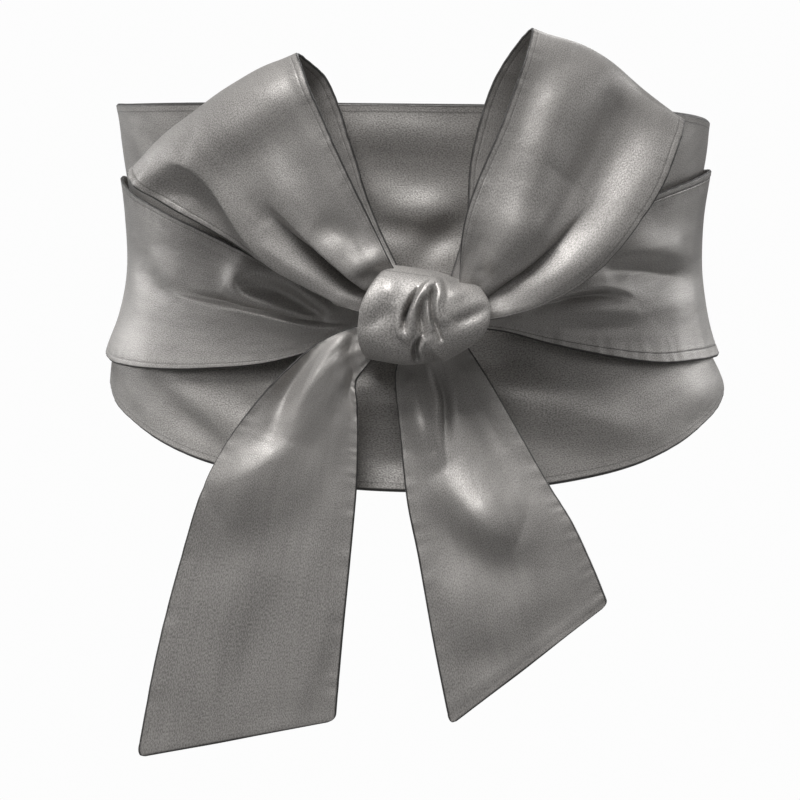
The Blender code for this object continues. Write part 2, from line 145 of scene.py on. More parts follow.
@dataclass(frozen=True)
class Crease:
    """A soft ridge in the cloth, or a trough where its heights are negative.

    Its stations are (across, up, height) or (along, across, height), in millimetres. Going
    from its first station to its last, left and right are its half widths on each side, and
    lean is how far its crest hangs over its narrower side. point is 2 for a round crest and
    nearer to 1 for a sharp one."""

    stations: tuple
    left: float
    right: float
    lean: float = 0.0
    point: float = 2.0
    chart: Chart = Chart.FRONT

    def line(self) -> np.ndarray:
        """Draws the crease's smooth line through its stations.

        Returns:
            The line's points, each with its height, in metres.
        """
        places = np.linspace(0, 1, len(self.stations))
        table = [(at, *(s * MM for s in station)) for at, station in zip(places, self.stations)]
        return smooth_table(table, np.linspace(0, 1, LINE_POINTS * len(self.stations)))

    def raised(self, places: np.ndarray) -> tuple[np.ndarray, np.ndarray]:
        """Works out what the crease does to each place of a cloth.

        Args:
            places: two chart coordinates for each place, in metres.

        Returns:
            The height it adds at each place, and how far it pulls the place sideways along
            the chart's two directions.
        """
        line = self.line()
        runs = np.diff(line, axis=0)
        reach = CREASE_REACH / self.point * max(self.left, self.right) * MM
        low, high = line[:, :2].min(axis=0) - reach, line[:, :2].max(axis=0) + reach
        near = np.all((places > low) & (places < high), axis=-1)
        height = np.zeros(places.shape[:-1])
        pull = np.zeros(places.shape)
        if not near.any():
            return height, pull
        offsets = places[near][:, None, :] - line[None, :-1, :2]
        along = np.sum(runs[:, :2] ** 2, axis=-1)
        share = np.clip(np.sum(offsets * runs[:, :2], axis=-1) / along, 0, 1)
        away = offsets - share[..., None] * runs[:, :2]
        distance = np.linalg.norm(away, axis=-1)
        nearest = np.argmin(distance, axis=1)
        pick = (np.arange(len(nearest)), nearest)
        run, away, distance, share = runs[nearest], away[pick], distance[pick], share[pick]
        forward = unit(run[:, :2])
        leftward = np.stack([-forward[:, 1], forward[:, 0]], axis=-1)
        side = np.sum(away * leftward, axis=-1) / np.maximum(distance, 1e-9)
        width = ((self.left + self.right) + side * (self.left - self.right)) / 2 * MM
        bump = np.exp(-((distance / width) ** self.point))
        height[near] = (line[nearest, 2] + share * run[:, 2]) * bump
        if self.lean:
            narrow = leftward if self.left < self.right else -leftward
            pull[near] = narrow * (self.lean * MM * bump)[:, None]
        return height, pull


@dataclass(frozen=True)
class Hem:
    """A turned and pressed edge: how far in its seam lies, how deep the seam sinks, how much
    thicker the turned edge is, and how much the edge puckers, in metres."""

    width: float = 2.7 * MM
    groove: float = 0.26 * MM
    groove_width: float = 0.50 * MM
    thicker: float = 0.16 * MM
    pucker: float = 0.10 * MM
    pucker_pitch: float = 7.5 * MM

    def thickness(self, from_edge: np.ndarray) -> np.ndarray:
        """The extra thickness of the cloth at distances from its edge."""
        turned = self.thicker * (1 - eased(from_edge, self.width, self.width + 1.6 * MM))
        return turned - self.groove * np.exp(-(((from_edge - self.width) / self.groove_width) ** 2))

    def ripple(self, from_edge: np.ndarray, along: np.ndarray) -> np.ndarray:
        """Works out the pucker of the edge.

        Args:
            from_edge: distances from the edge.
            along: places along it.

        Returns:
            How far the cloth moves out of its own plane.
        """
        turn = 2 * math.pi * along / self.pucker_pitch
        wave = np.sin(turn) + 0.7 * np.sin(0.618 * turn + 1.3) + 0.5 * np.sin(1.414 * turn + 0.4)
        return self.pucker * wave * np.exp(-((from_edge / (2.2 * self.width)) ** 2))


def cloth_lines(
    length: float,
    edges: tuple[bool, bool] = (True, True),
    step: float = MIDDLE_STEP,
    zone: float = EDGE_ZONE,
) -> np.ndarray:
    """Places for a cloth's mesh lines, closer together near its hemmed edges.

    Args:
        length: how far the lines reach, in metres.
        edges: whether the start and the end are hemmed edges.
        step: how far apart the lines are between the edges.
        zone: how far in from a hemmed edge the lines are closer.

    Returns:
        Shares of the length, from 0 to 1.
    """
    fine = EDGE_STEP * np.arange(round(zone / EDGE_STEP))
    start = fine if edges[0] else np.zeros(0)
    end = length - fine[::-1] if edges[1] else np.zeros(0)
    low = zone if edges[0] else 0.0
    high = length - zone if edges[1] else length
    middle = np.linspace(low, high, max(3, round((high - low) / step)))
    return np.concatenate([start, middle, end]) / length


@dataclass
class ClothShell:
    """A closed, hemmed wall of cloth round a grid of points on its middle. along and across
    are the places of the grid's points in the flat cloth, in metres. The hem along its upper
    edge is narrower by upper_less, within narrowing of that edge."""

    name: str
    middle: np.ndarray
    along: np.ndarray
    across: np.ndarray
    wall: float
    hem: Hem
    upper_less: float = 0.0
    hemmed_end: bool = False
    narrowing: float = 1.2 * MM

    def from_edge(self) -> np.ndarray:
        """Measures how far each place is from the nearest hemmed edge.

        Returns:
            The distances, longer along the upper edge where its hem is narrower.
        """
        width = self.across.max(axis=1, keepdims=True)
        nearest = np.minimum(self.across, width - self.across)
        if self.hemmed_end:
            nearest = np.minimum(nearest, self.along.max() - self.along)
        further = nearest + self.upper_less * eased(nearest, 0, self.narrowing)
        return np.where(self.across > width / 2, further, nearest)

    def sides(self) -> tuple[np.ndarray, np.ndarray]:
        """Finds the cloth's two faces.

        Returns:
            The outer and the inner face, as grids of points.
        """
        from_edge = self.from_edge()
        normals = grid_normals(self.middle)
        middle = self.middle + normals * self.hem.ripple(from_edge, self.along)[..., None]
        half = (self.wall + self.hem.thickness(from_edge)) / 2
        return middle + normals * half[..., None], middle - normals * half[..., None]

    def build(self) -> bpy.types.Object:
        """Builds the shell's mesh, with the flat cloth's coordinates as its UV map.

        Returns:
            The new object.
        """
        outer, inner = self.sides()
        rows, columns = outer.shape[:2]
        rim = (outer + inner) / 2
        swell = np.linalg.norm(outer - inner, axis=-1, keepdims=True) * RIM_SWELL
        first = rim[:, :1] + unit(rim[:, :1] - rim[:, 1:2]) * swell[:, :1]
        last = rim[:, -1:] + unit(rim[:, -1:] - rim[:, -2:-1]) * swell[:, -1:]
        ring = np.concatenate([outer, last, inner[:, ::-1], first], axis=1)
        start = rim[0] + unit(rim[0] - rim[1]) * swell[0]
        end = rim[-1] + unit(rim[-1] - rim[-2]) * swell[-1]
        points = np.concatenate([ring.reshape(-1, 3), start, end])

        flat = np.stack([self.along, self.across, self.from_edge()], axis=-1)
        flat_ring = np.concatenate([flat, flat[:, -1:], flat[:, ::-1], flat[:, :1]], axis=1)
        flat_points = np.concatenate([flat_ring.reshape(-1, 3), flat[0], flat[-1]])

        around = ring.shape[1]
        r, c = np.meshgrid(np.arange(rows - 1), np.arange(around), indexing="ij")
        beyond = (c + 1) % around
        quads = [
            np.stack([r * around + c, r * around + beyond, (r + 1) * around + beyond,
                      (r + 1) * around + c], axis=-1).reshape(-1, 4)
        ]
        corners = []
        for row, cap in ((0, rows * around), (rows - 1, rows * around + columns)):
            c = np.arange(columns - 1)
            on_outer = row * around + np.arange(columns)
            on_inner = row * around + 2 * columns - np.arange(columns)
            on_cap = cap + np.arange(columns)
            near = np.stack([on_outer[c], on_cap[c], on_cap[c + 1], on_outer[c + 1]], axis=-1)
            far = np.stack([on_cap[c], on_inner[c], on_inner[c + 1], on_cap[c + 1]], axis=-1)
            ends = np.array([
                (on_outer[0], row * around + around - 1, on_cap[0]),
                (on_cap[0], row * around + around - 1, on_inner[0]),
                (on_outer[-1], on_cap[-1], row * around + columns),
                (on_cap[-1], on_inner[-1], row * around + columns),
            ])
            turned = row > 0
            quads += [q[:, ::-1] if turned else q for q in (near, far)]
            corners.append(ends[:, ::-1] if turned else ends)
        return add_mesh(self.name, points, np.concatenate(quads), np.concatenate(corners), flat_points)


def add_mesh(
    name: str,
    points: np.ndarray,
    quads: np.ndarray,
    triangles: np.ndarray,
    flat: np.ndarray,
) -> bpy.types.Object:
    """Makes a smooth closed mesh object with UV maps of the flat cloth and of its hem.

    Args:
        name: the object's name.
        points: its points.
        quads: its four-sided faces, turned one way.
        triangles: its three-sided faces, turned the same way.
        flat: each point's place along and across the flat cloth and distance from its edge.

    Returns:
        The new object.
    """
    halves = [quads[:, [0, 1, 2]], quads[:, [0, 2, 3]], triangles]
    a, b, c = (points[np.concatenate(halves)[:, k]] for k in range(3))
    if np.einsum("ij,ij->i", a, np.cross(b, c)).sum() < 0:
        quads, triangles = quads[:, ::-1], triangles[:, ::-1]
    mesh = bpy.data.meshes.new(name)
    mesh.from_pydata(points.tolist(), [], quads.tolist() + triangles.tolist())
    corners = np.concatenate([quads.ravel(), triangles.ravel()])
    layer = mesh.uv_layers.new(name=CLOTH_UV)
    layer.data.foreach_set("uv", flat[corners, :2].astype(np.float32).ravel())
    layer = mesh.uv_layers.new(name=HEM_UV)
    layer.data.foreach_set("uv", (flat[corners, 2:] * (1, 0)).astype(np.float32).ravel())
    mesh.update()
    mesh.shade_smooth()
    made = bpy.data.objects.new(name, mesh)
    bpy.context.scene.collection.objects.link(made)
    return made


class EffectGroups:
    """The shader effects that every satin here shares, each a node group built once."""

    TWILL_SLANT = 0.55
    THREAD_STRETCH = (0.75, 1.0, 1.0)
    STREAK_STRETCH = (0.12, 1.0, 1.0)
    STREAK_SHARE = 0.35

    def __init__(self) -> None:
        """Builds the groups."""
        self.weave = self.satin_weave()
        self.tone = self.cloth_tone()
        self.edge = self.painted_edge_shade()

    @staticmethod
    def new_group(name: str, numbers: dict[str, float], outputs: tuple[str, ...]) -> tuple:
        """Starts a node group that reads a vector and some numbers.

        Args:
            name: the group's name.
            numbers: its number inputs and what they are if nothing is set.
            outputs: its number outputs.

        Returns:
            The group, its input node, its output node.
        """
        group = bpy.data.node_groups.new(name, "ShaderNodeTree")
        sockets = group.interface
        sockets.new_socket("Cloth", in_out="INPUT", socket_type="NodeSocketVector")
        for label, value in numbers.items():
            socket = sockets.new_socket(label, in_out="INPUT", socket_type="NodeSocketFloat")
            socket.default_value = value
        for label in outputs:
            sockets.new_socket(label, in_out="OUTPUT", socket_type="NodeSocketFloat")
        return group, group.nodes.new("NodeGroupInput"), group.nodes.new("NodeGroupOutput")

    @staticmethod
    def math_node(group: bpy.types.NodeTree, operation: str, *values: object) -> bpy.types.NodeSocket:
        """Adds a math node.

        Args:
            group: the group.
            operation: what the node works out.
            values: its inputs, as sockets or numbers.

        Returns:
            Its result.
        """
        node = group.nodes.new("ShaderNodeMath")
        node.operation = operation
        for socket, value in zip(node.inputs, values):
            if isinstance(value, bpy.types.NodeSocket):
                group.links.new(value, socket)
            else:
                socket.default_value = value
        return node.outputs[0]

    @staticmethod
    def spread(
        group: bpy.types.NodeTree, value: bpy.types.NodeSocket, low: float, high: float
    ) -> bpy.types.NodeSocket:
        """Spreads a value out to go from 0 at low to 1 at high.

        Args:
            group: the group.
            value: the value.
            low: what becomes 0.
            high: what becomes 1.

        Returns:
            The spread value.
        """
        node = group.nodes.new("ShaderNodeMapRange")
        node.inputs["From Min"].default_value = low
        node.inputs["From Max"].default_value = high
        group.links.new(value, node.inputs["Value"])
        return node.outputs[0]

    @staticmethod
    def soft_line(
        group: bpy.types.NodeTree, distance: bpy.types.NodeSocket, width: bpy.types.NodeSocket
    ) -> bpy.types.NodeSocket:
        """Fades from 1 on a line to 0 at its width.

        Args:
            group: the group.
            distance: how far each place is from the line.
            width: how far the line reaches.

        Returns:
            The line's shade.
        """
        node = group.nodes.new("ShaderNodeMapRange")
        node.interpolation_type = "SMOOTHSTEP"
        node.inputs["To Min"].default_value = 1.0
        node.inputs["To Max"].default_value = 0.0
        group.links.new(distance, node.inputs["Value"])
        group.links.new(width, node.inputs["From Max"])
        return node.outputs[0]

    def noise(
        self,
        group: bpy.types.NodeTree,
        given: bpy.types.Node,
        size: str,
        stretch: tuple[float, float, float],
        detail: float,
        roughness: float,
    ) -> bpy.types.NodeSocket:
        """Adds soft noise over the flat cloth.

        Args:
            group: the group.
            given: its input node.
            size: the input that holds the noise's size.
            stretch: how much closer together the noise is in each direction.
            detail: how many finer layers it has.
            roughness: how strong those layers are.

        Returns:
            The noise.
        """
        stretched = group.nodes.new("ShaderNodeVectorMath")
        stretched.operation = "MULTIPLY"
        stretched.inputs[1].default_value = stretch
        group.links.new(given.outputs["Cloth"], stretched.inputs[0])
        noise = group.nodes.new("ShaderNodeTexNoise")
        noise.inputs["Detail"].default_value = detail
        noise.inputs["Roughness"].default_value = roughness
        group.links.new(stretched.outputs[0], noise.inputs["Vector"])
        scale = self.math_node(group, "DIVIDE", 1.0, given.outputs[size])
        group.links.new(scale, noise.inputs["Scale"])
        return noise.outputs[0]

    def satin_weave(self) -> bpy.types.NodeTree:
        """The weave seen close: twill lines, and the broken glints of the long floats.

        Returns:
            The group. Its Height feeds a bump, its Glint goes from 0 to 1 over the threads.
        """
        numbers = {"Twill Pitch": 0.0011, "Thread Size": 0.0005, "Twill": 0.15}
        group, given, result = self.new_group("satin weave", numbers, ("Height", "Glint"))
        split = group.nodes.new("ShaderNodeSeparateXYZ")
        group.links.new(given.outputs["Cloth"], split.inputs[0])
        across = self.math_node(group, "MULTIPLY", split.outputs[1], self.TWILL_SLANT)
        slant = self.math_node(group, "ADD", split.outputs[0], across)
        turns = self.math_node(group, "DIVIDE", slant, given.outputs["Twill Pitch"])
        wave = self.math_node(group, "SINE", self.math_node(group, "MULTIPLY", turns, 2 * math.pi))

        threads = self.noise(group, given, "Thread Size", self.THREAD_STRETCH, 1.5, 0.65)
        glint = self.spread(group, threads, 0.36, 0.64)
        twill = self.math_node(group, "MULTIPLY", wave, given.outputs["Twill"])
        height = self.math_node(group, "ADD", glint, twill)
        group.links.new(height, result.inputs["Height"])
        group.links.new(glint, result.inputs["Glint"])
        return group

    def cloth_tone(self) -> bpy.types.NodeTree:
        """The uneven tone of pressed cloth: broad clouds and faint streaks along the threads.

        Returns:
            The group. Its Tone goes from 0 to 1, its Ripple feeds a bump.
        """
        numbers = {"Cloud Size": 0.035, "Streak Size": 0.004}
        group, given, result = self.new_group("cloth tone", numbers, ("Tone", "Ripple"))
        clouds = self.noise(group, given, "Cloud Size", (1.0, 1.0, 1.0), 3.0, 0.5)
        streaks = self.noise(group, given, "Streak Size", self.STREAK_STRETCH, 2.0, 0.5)
        faint = self.math_node(group, "MULTIPLY", streaks, self.STREAK_SHARE)
        broad = self.math_node(group, "MULTIPLY", clouds, 1 - self.STREAK_SHARE)
        tone = self.spread(group, self.math_node(group, "ADD", faint, broad), 0.32, 0.68)
        group.links.new(tone, result.inputs["Tone"])
        group.links.new(clouds, result.inputs["Ripple"])
        return group

    def painted_edge_shade(self) -> bpy.types.NodeTree:
        """Painted shade: a thin dark line where the cloth turns over at its edge, and a dark line along the
        groove of its seam.

        Returns:
            The group. Its Shade is 1 in the lines and 0 elsewhere.
        """
        numbers = {"Edge Width": 0.0008, "Seam Place": 0.0027, "Seam Width": 0.0005, "Seam Shade": 0.4}
        group, given, result = self.new_group("painted edge shade", numbers, ("Shade",))
        split = group.nodes.new("ShaderNodeSeparateXYZ")
        group.links.new(given.outputs["Cloth"], split.inputs[0])
        from_edge = split.outputs[0]
        edge = self.soft_line(group, from_edge, given.outputs["Edge Width"])
        past = self.math_node(group, "SUBTRACT", from_edge, given.outputs["Seam Place"])
        past = self.math_node(group, "ABSOLUTE", past)
        seam = self.soft_line(group, past, given.outputs["Seam Width"])
        seam_darkness = self.math_node(group, "MULTIPLY", seam, given.outputs["Seam Shade"])
        shade = self.math_node(group, "MAXIMUM", edge, seam_darkness)
        group.links.new(shade, result.inputs["Shade"])
        return group


@dataclass(frozen=True)
class SatinFinish:
    """One satin: its colour where its tone is darkest and lightest, and how it shines. Its
    tone comes from the threads' glints by glint_share, and for the rest from broad clouds."""

    name: str
    dark: tuple[float, float, float]
    light: tuple[float, float, float]
    smoothest: float = 0.38
    roughest: float = 0.52
    metallic: float = 0.45
    anisotropic: float = 0.35
    sheen: float = 0.10
    sheen_roughness: float = 0.45
    glint_share: float = 0.72
    weave_depth: float = 0.00003
    ripple_depth: float = 0.0012
    twill: float = 0.12
    twill_pitch: float = 0.0011
    # The painted shade along the edges and the seam: where the seam line lies, how strongly the seam line is
    # darkened, and how dark the edge line is as a share of dark.
    seam_place: float = 0.0027
    seam_shade: float = 0.4
    edge_shade_share: float = 0.28

    def material(self, groups: EffectGroups) -> bpy.types.Material:
        """Builds the satin's material.

        Args:
            groups: the shared effects.

        Returns:
            The material.
        """
        made = bpy.data.materials.new(self.name)
        made.use_nodes = True
        tree = made.node_tree
        shader = tree.nodes["Principled BSDF"]
        shader.inputs["Metallic"].default_value = self.metallic
        shader.inputs["Anisotropic"].default_value = self.anisotropic
        shader.inputs["Sheen Weight"].default_value = self.sheen
        shader.inputs["Sheen Roughness"].default_value = self.sheen_roughness
        flat = tree.nodes.new("ShaderNodeUVMap")
        flat.uv_map = CLOTH_UV
        weave = self.placed(tree, groups.weave, flat)
        weave.inputs["Twill"].default_value = self.twill
        weave.inputs["Twill Pitch"].default_value = self.twill_pitch
        tone = self.placed(tree, groups.tone, flat)

        shade = tree.nodes.new("ShaderNodeMix")
        shade.data_type = "RGBA"
        shade.inputs["A"].default_value = (*self.dark, 1)
        shade.inputs["B"].default_value = (*self.light, 1)
        cloudy = tree.nodes.new("ShaderNodeMath")
        cloudy.operation = "MULTIPLY"
        cloudy.inputs[1].default_value = 1 - self.glint_share
        tree.links.new(tone.outputs["Tone"], cloudy.inputs[0])
        lightness = tree.nodes.new("ShaderNodeMath")
        lightness.operation = "MULTIPLY_ADD"
        lightness.inputs[1].default_value = self.glint_share
        tree.links.new(weave.outputs["Glint"], lightness.inputs[0])
        tree.links.new(cloudy.outputs[0], lightness.inputs[2])
        tree.links.new(lightness.outputs[0], shade.inputs["Factor"])

        # Painted shade: the colour is darkened in a thin line along the cloth's edges and along its seam.
        hem = tree.nodes.new("ShaderNodeUVMap")
        hem.uv_map = HEM_UV
        edge = self.placed(tree, groups.edge, hem)
        edge.inputs["Seam Place"].default_value = self.seam_place
        edge.inputs["Seam Shade"].default_value = self.seam_shade
        edge_shaded = tree.nodes.new("ShaderNodeMix")
        edge_shaded.data_type = "RGBA"
        edge_shaded.inputs["B"].default_value = (*(self.edge_shade_share * part for part in self.dark), 1)
        tree.links.new(edge.outputs["Shade"], edge_shaded.inputs["Factor"])
        tree.links.new(shade.outputs["Result"], edge_shaded.inputs["A"])
        tree.links.new(edge_shaded.outputs["Result"], shader.inputs["Base Color"])

        gloss = tree.nodes.new("ShaderNodeMapRange")
        gloss.inputs["To Min"].default_value = self.roughest
        gloss.inputs["To Max"].default_value = self.smoothest
        tree.links.new(lightness.outputs[0], gloss.inputs["Value"])
        tree.links.new(gloss.outputs[0], shader.inputs["Roughness"])

        rippled = tree.nodes.new("ShaderNodeBump")
        rippled.inputs["Distance"].default_value = self.ripple_depth
        tree.links.new(tone.outputs["Ripple"], rippled.inputs["Height"])
        woven = tree.nodes.new("ShaderNodeBump")
        woven.inputs["Distance"].default_value = self.weave_depth
        tree.links.new(weave.outputs["Height"], woven.inputs["Height"])
        tree.links.new(rippled.outputs[0], woven.inputs["Normal"])
        tree.links.new(woven.outputs[0], shader.inputs["Normal"])
        threads = tree.nodes.new("ShaderNodeTangent")
        threads.direction_type = "UV_MAP"
        threads.uv_map = CLOTH_UV
        tree.links.new(threads.outputs[0], shader.inputs["Tangent"])
        return made

    @staticmethod
    def placed(tree: bpy.types.NodeTree, group: bpy.types.NodeTree, flat: bpy.types.Node) -> bpy.types.Node:
        """Places a shared effect in a material.

        Args:
            tree: the material's nodes.
            group: the effect.
            flat: the node that gives the cloth's coordinates.

        Returns:
            The placed effect.
        """
        node = tree.nodes.new("ShaderNodeGroup")
        node.node_tree = group
        tree.links.new(flat.outputs[0], node.inputs["Cloth"])
        return node


def dress(piece: bpy.types.Object, material: bpy.types.Material, node: str) -> bpy.types.Object:
    """Gives a piece its satin and fixes it to the sash's body.

    Args:
        piece: the piece.
        material: its satin.
        node: the solid that it stands for.

    Returns:
        The piece.
    """
    piece.data.materials.append(material)
    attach(piece, BODY)
    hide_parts(node)
    count = sum(len(face.vertices) - 2 for face in piece.data.polygons)
    log.info("%s: %d triangles", piece.name, count)
    return piece


class FormRow(NamedTuple):
    """One level of the hollow form that the sash keeps, and how far it sways to the side."""

    height: float
    half_width: float
    half_depth: float
    sway: float


@dataclass(frozen=True)
class WornForm:
    """The hollow form that the sash keeps: an oval at each height, a little squarer than an
    ellipse."""

    rows: tuple[FormRow, ...] = (
        FormRow(-0.085, 0.1398, 0.1150, 0.0014),
        FormRow(-0.058, 0.1388, 0.1120, 0.0011),
        FormRow(-0.043, 0.1382, 0.1095, 0.0006),
        FormRow(-0.029, 0.1345, 0.1060, -0.0016),
        FormRow(-0.014, 0.1298, 0.1030, -0.0010),
        FormRow(0.004, 0.1264, 0.1005, -0.0007),
        FormRow(0.030, 0.1266, 0.1000, -0.0004),
        FormRow(0.058, 0.1300, 0.1025, -0.0003),
        FormRow(0.084, 0.1332, 0.1055, -0.0004),
    )
    squareness: float = 2.15

    def outside(self, degrees: np.ndarray, heights: np.ndarray, out: np.ndarray) -> np.ndarray:
        """Finds points outside the form.

        Args:
            degrees: their angles from the front, to the right.
            heights: their heights.
            out: how far outside the form they lie.

        Returns:
            The points.
        """
        half_width, half_depth, sway = np.moveaxis(smooth_table(self.rows, heights), -1, 0)
        side, front = np.sin(np.radians(degrees)), np.cos(np.radians(degrees))
        power = self.squareness
        fuller = (np.abs(side) ** power + np.abs(front) ** power) ** (-1 / power)
        x, y = half_width * side * fuller, -half_depth * front * fuller
        across, along = side / half_width, -front / half_depth
        length = np.hypot(across, along)
        x, y = x + out * across / length, y + out * along / length
        return np.stack([x + sway, y, heights], axis=-1)


def seen_from_front(grid: np.ndarray) -> np.ndarray:
    """Each point's place across and up, as the front view's chart measures it."""
    return grid[..., [0, 2]]


def creased(
    middle: np.ndarray,
    charts: dict[Chart, np.ndarray],
    creases: tuple[Crease, ...],
    front_share: np.ndarray,
) -> tuple[np.ndarray, np.ndarray]:
    """Adds up what a list of creases does to a cloth.

    Args:
        middle: the points of the smooth cloth.
        charts: each point's place in each chart.
        creases: the creases.
        front_share: how far each point belongs to the layer that shows in front.

    Returns:
        The heights above the smooth cloth, and the sideways pull as vectors.
    """
    height = np.zeros(middle.shape[:2])
    pull = np.zeros_like(middle)
    for crease in creases:
        added, sideways = crease.raised(charts[crease.chart])
        if crease.chart is Chart.FRONT:
            pull[..., 0] += sideways[..., 0] * front_share
            pull[..., 2] += sideways[..., 1] * front_share
            added = added * front_share
        height += added
    return height, pull


def settled(along: np.ndarray, across: np.ndarray, depth: float, seed: int) -> np.ndarray:
    """Small soft unevenness such as worn cloth has.

    Args:
        along: places along the cloth, in metres.
        across: places across it.
        depth: how deep it goes, in metres.
        seed: which unevenness.

    Returns:
        Heights.
    """
    waves, shortest, longest = 7, 0.020, 0.055
    chance = np.random.default_rng(seed)
    total = np.zeros_like(along)
    for _ in range(waves):
        length = chance.uniform(shortest, longest)
        heading = chance.uniform(0, math.pi)
        phase = chance.uniform(0, 2 * math.pi)
        run = along * math.cos(heading) + across * math.sin(heading)
        total += np.sin(2 * math.pi * run / length + phase)
    return depth * total / waves


class EdgeRow(NamedTuple):
    """The heights of the panel's two edges at an angle from the front, to the right."""

    degrees: float
    hem: float
    top: float


@dataclass
class WaistPanel:
    """The wide shaped panel. Its cut, the size that it is cut to, and its area, the area that it has flat,
    are not used.
    """

    form: WornForm
    edges: tuple[EdgeRow, ...] = (
        EdgeRow(-PANEL_END, 0.004, 0.052),
        EdgeRow(-135.0, -0.012, 0.064),
        EdgeRow(-112.0, -0.030, 0.077),
        EdgeRow(-90.0, -0.040, 0.081),
        EdgeRow(-65.0, -0.0545, 0.0815),
        EdgeRow(-39.0, -0.070, 0.082),
        EdgeRow(0.0, -0.0795, 0.0815),
        EdgeRow(39.0, -0.0720, 0.080),
        EdgeRow(65.0, -0.056, 0.0765),
        EdgeRow(90.0, -0.042, 0.0715),
        EdgeRow(112.0, -0.034, 0.065),
        EdgeRow(135.0, -0.022, 0.052),
        EdgeRow(PANEL_END, -0.014, 0.034),
    )
    cut: tuple[float, float] = (0.162, 0.70)
    area: float = 0.078
    depth: float = 0.161
    step: float = 1.6 * MM
    lines: int = 300
    unevenness: float = 0.6 * MM
    hem: Hem = Hem(
        width=1.9 * MM, groove=0.14 * MM, groove_width=0.7 * MM, thicker=0.3 * MM, pucker=0.06 * MM
    )
    creases: tuple[Crease, ...] = (
        Crease(((-34, 70, 0.6), (-15.5, 71, 2.0), (2, 70, 2.2), (20, 69, 1.2)), 7.5, 9),
        Crease(((-27.5, 58, -0.3), (-15.5, 54, -0.8), (-1.5, 52, -0.9), (13, 55, -0.5)), 8, 6),
        Crease(((-16, 40, 0.8), (-4, 37, 2.6), (8, 37.5, 2.8), (17, 41, 1.2)), 7, 6),
        Crease(((20, 30, -0.8), (13, 27, -2.2), (8, 24, -2.4), (2, 18, -1.2)), 6, 6),
        Crease(((-24, 27, 0.6), (-14, 22, 2), (-4, 20, 1.6)), 6, 7),
        Crease(((-20, -40, 1.5), (-8, -42, 2.6), (6, -41, 2)), 9, 12),
        Crease(((-22, -62, -1), (-10, -66, -2.4), (4, -65, -2)), 13, 8),
        Crease(((32, -33, 1.0), (48, -41, 4.4), (64, -46, 4.6), (82, -52, 2.8), (96, -56, 0.8)), 8.5, 9),
        Crease(((38, -51, -0.4), (54, -60, -1.4), (70, -66, -1.2), (84, -67, -0.4)), 8, 8),
        Crease(((22, -22, -0.6), (36, -24, -1.6), (52, -28, -1.2), (66, -34, -0.4)), 5, 7),
        Crease(((-101, -40, 0.6), (-91, -46.5, 1.6), (-80, -54.5, 1.4), (-69, -64.5, 0.6)), 6, 7),
        Crease(((-108, -44.5, -0.5), (-98, -53, -1.2), (-85, -61.5, -0.8)), 6, 6),
        Crease(((-75.5, -40.5, -0.4), (-66.5, -46.5, -1.2), (-60.5, -50.5, -0.8)), 6, 6),
        Crease(((204, 16, 0.3), (232, 22, 1.2), (262, 20, 1.4), (290, 14, 0.4)), 7, 8, chart=Chart.CLOTH),
        Crease(((215, 88, -0.3), (246, 80, -1.1), (281, 74, -0.5)), 6, 9, chart=Chart.CLOTH),
        Crease(((-208, 24, 0.4), (-241, 17, 1.5), (-276, 12, 0.8)), 9, 6, chart=Chart.CLOTH),
        Crease(((-196, 70, -0.3), (-226, 64, -1.0), (-259, 60, -1.2), (-296, 50, -0.4)), 7, 7,
               chart=Chart.CLOTH),
    )

    def build(self, finish: bpy.types.Material) -> bpy.types.Object:
        """Builds the panel over its solid.

        Args:
            finish: its satin.

        Returns:
            The panel.
        """
        degrees = np.linspace(-PANEL_END, PANEL_END, self.lines)
        lines = cloth_lines(self.depth, step=self.step)
        degrees, share = np.meshgrid(degrees, lines, indexing="ij")
        hem, top = np.moveaxis(smooth_table(self.edges, degrees), -1, 0)
        heights = hem + (top - hem) * share
        along = np.radians(degrees) * WAIST_RADIUS
        across = share * (top - hem)
        smooth = self.form.outside(degrees, heights, np.full_like(heights, PANEL_WALL / 2))
        charts = {Chart.FRONT: seen_from_front(smooth), Chart.CLOTH: np.stack([along, across], -1)}
        in_front = eased(-smooth[..., 1], 0.0, 0.02)
        height, _ = creased(smooth, charts, self.creases, in_front)
        height += settled(along, across, self.unevenness, 3)
        middle = self.form.outside(degrees, heights, PANEL_WALL / 2 + height)
        shell = ClothShell("sash_panel", middle, along, across, PANEL_WALL, self.hem)
        piece = dress(shell.build(), finish, "panel")
        return piece


class WrapRow(NamedTuple):
    """A tie's place on the waist: the angle from the front on the side that it comes from,
    the heights of its two edges and how far outside the worn form it lies."""

    degrees: float
    lower: float
    upper: float
    out: float


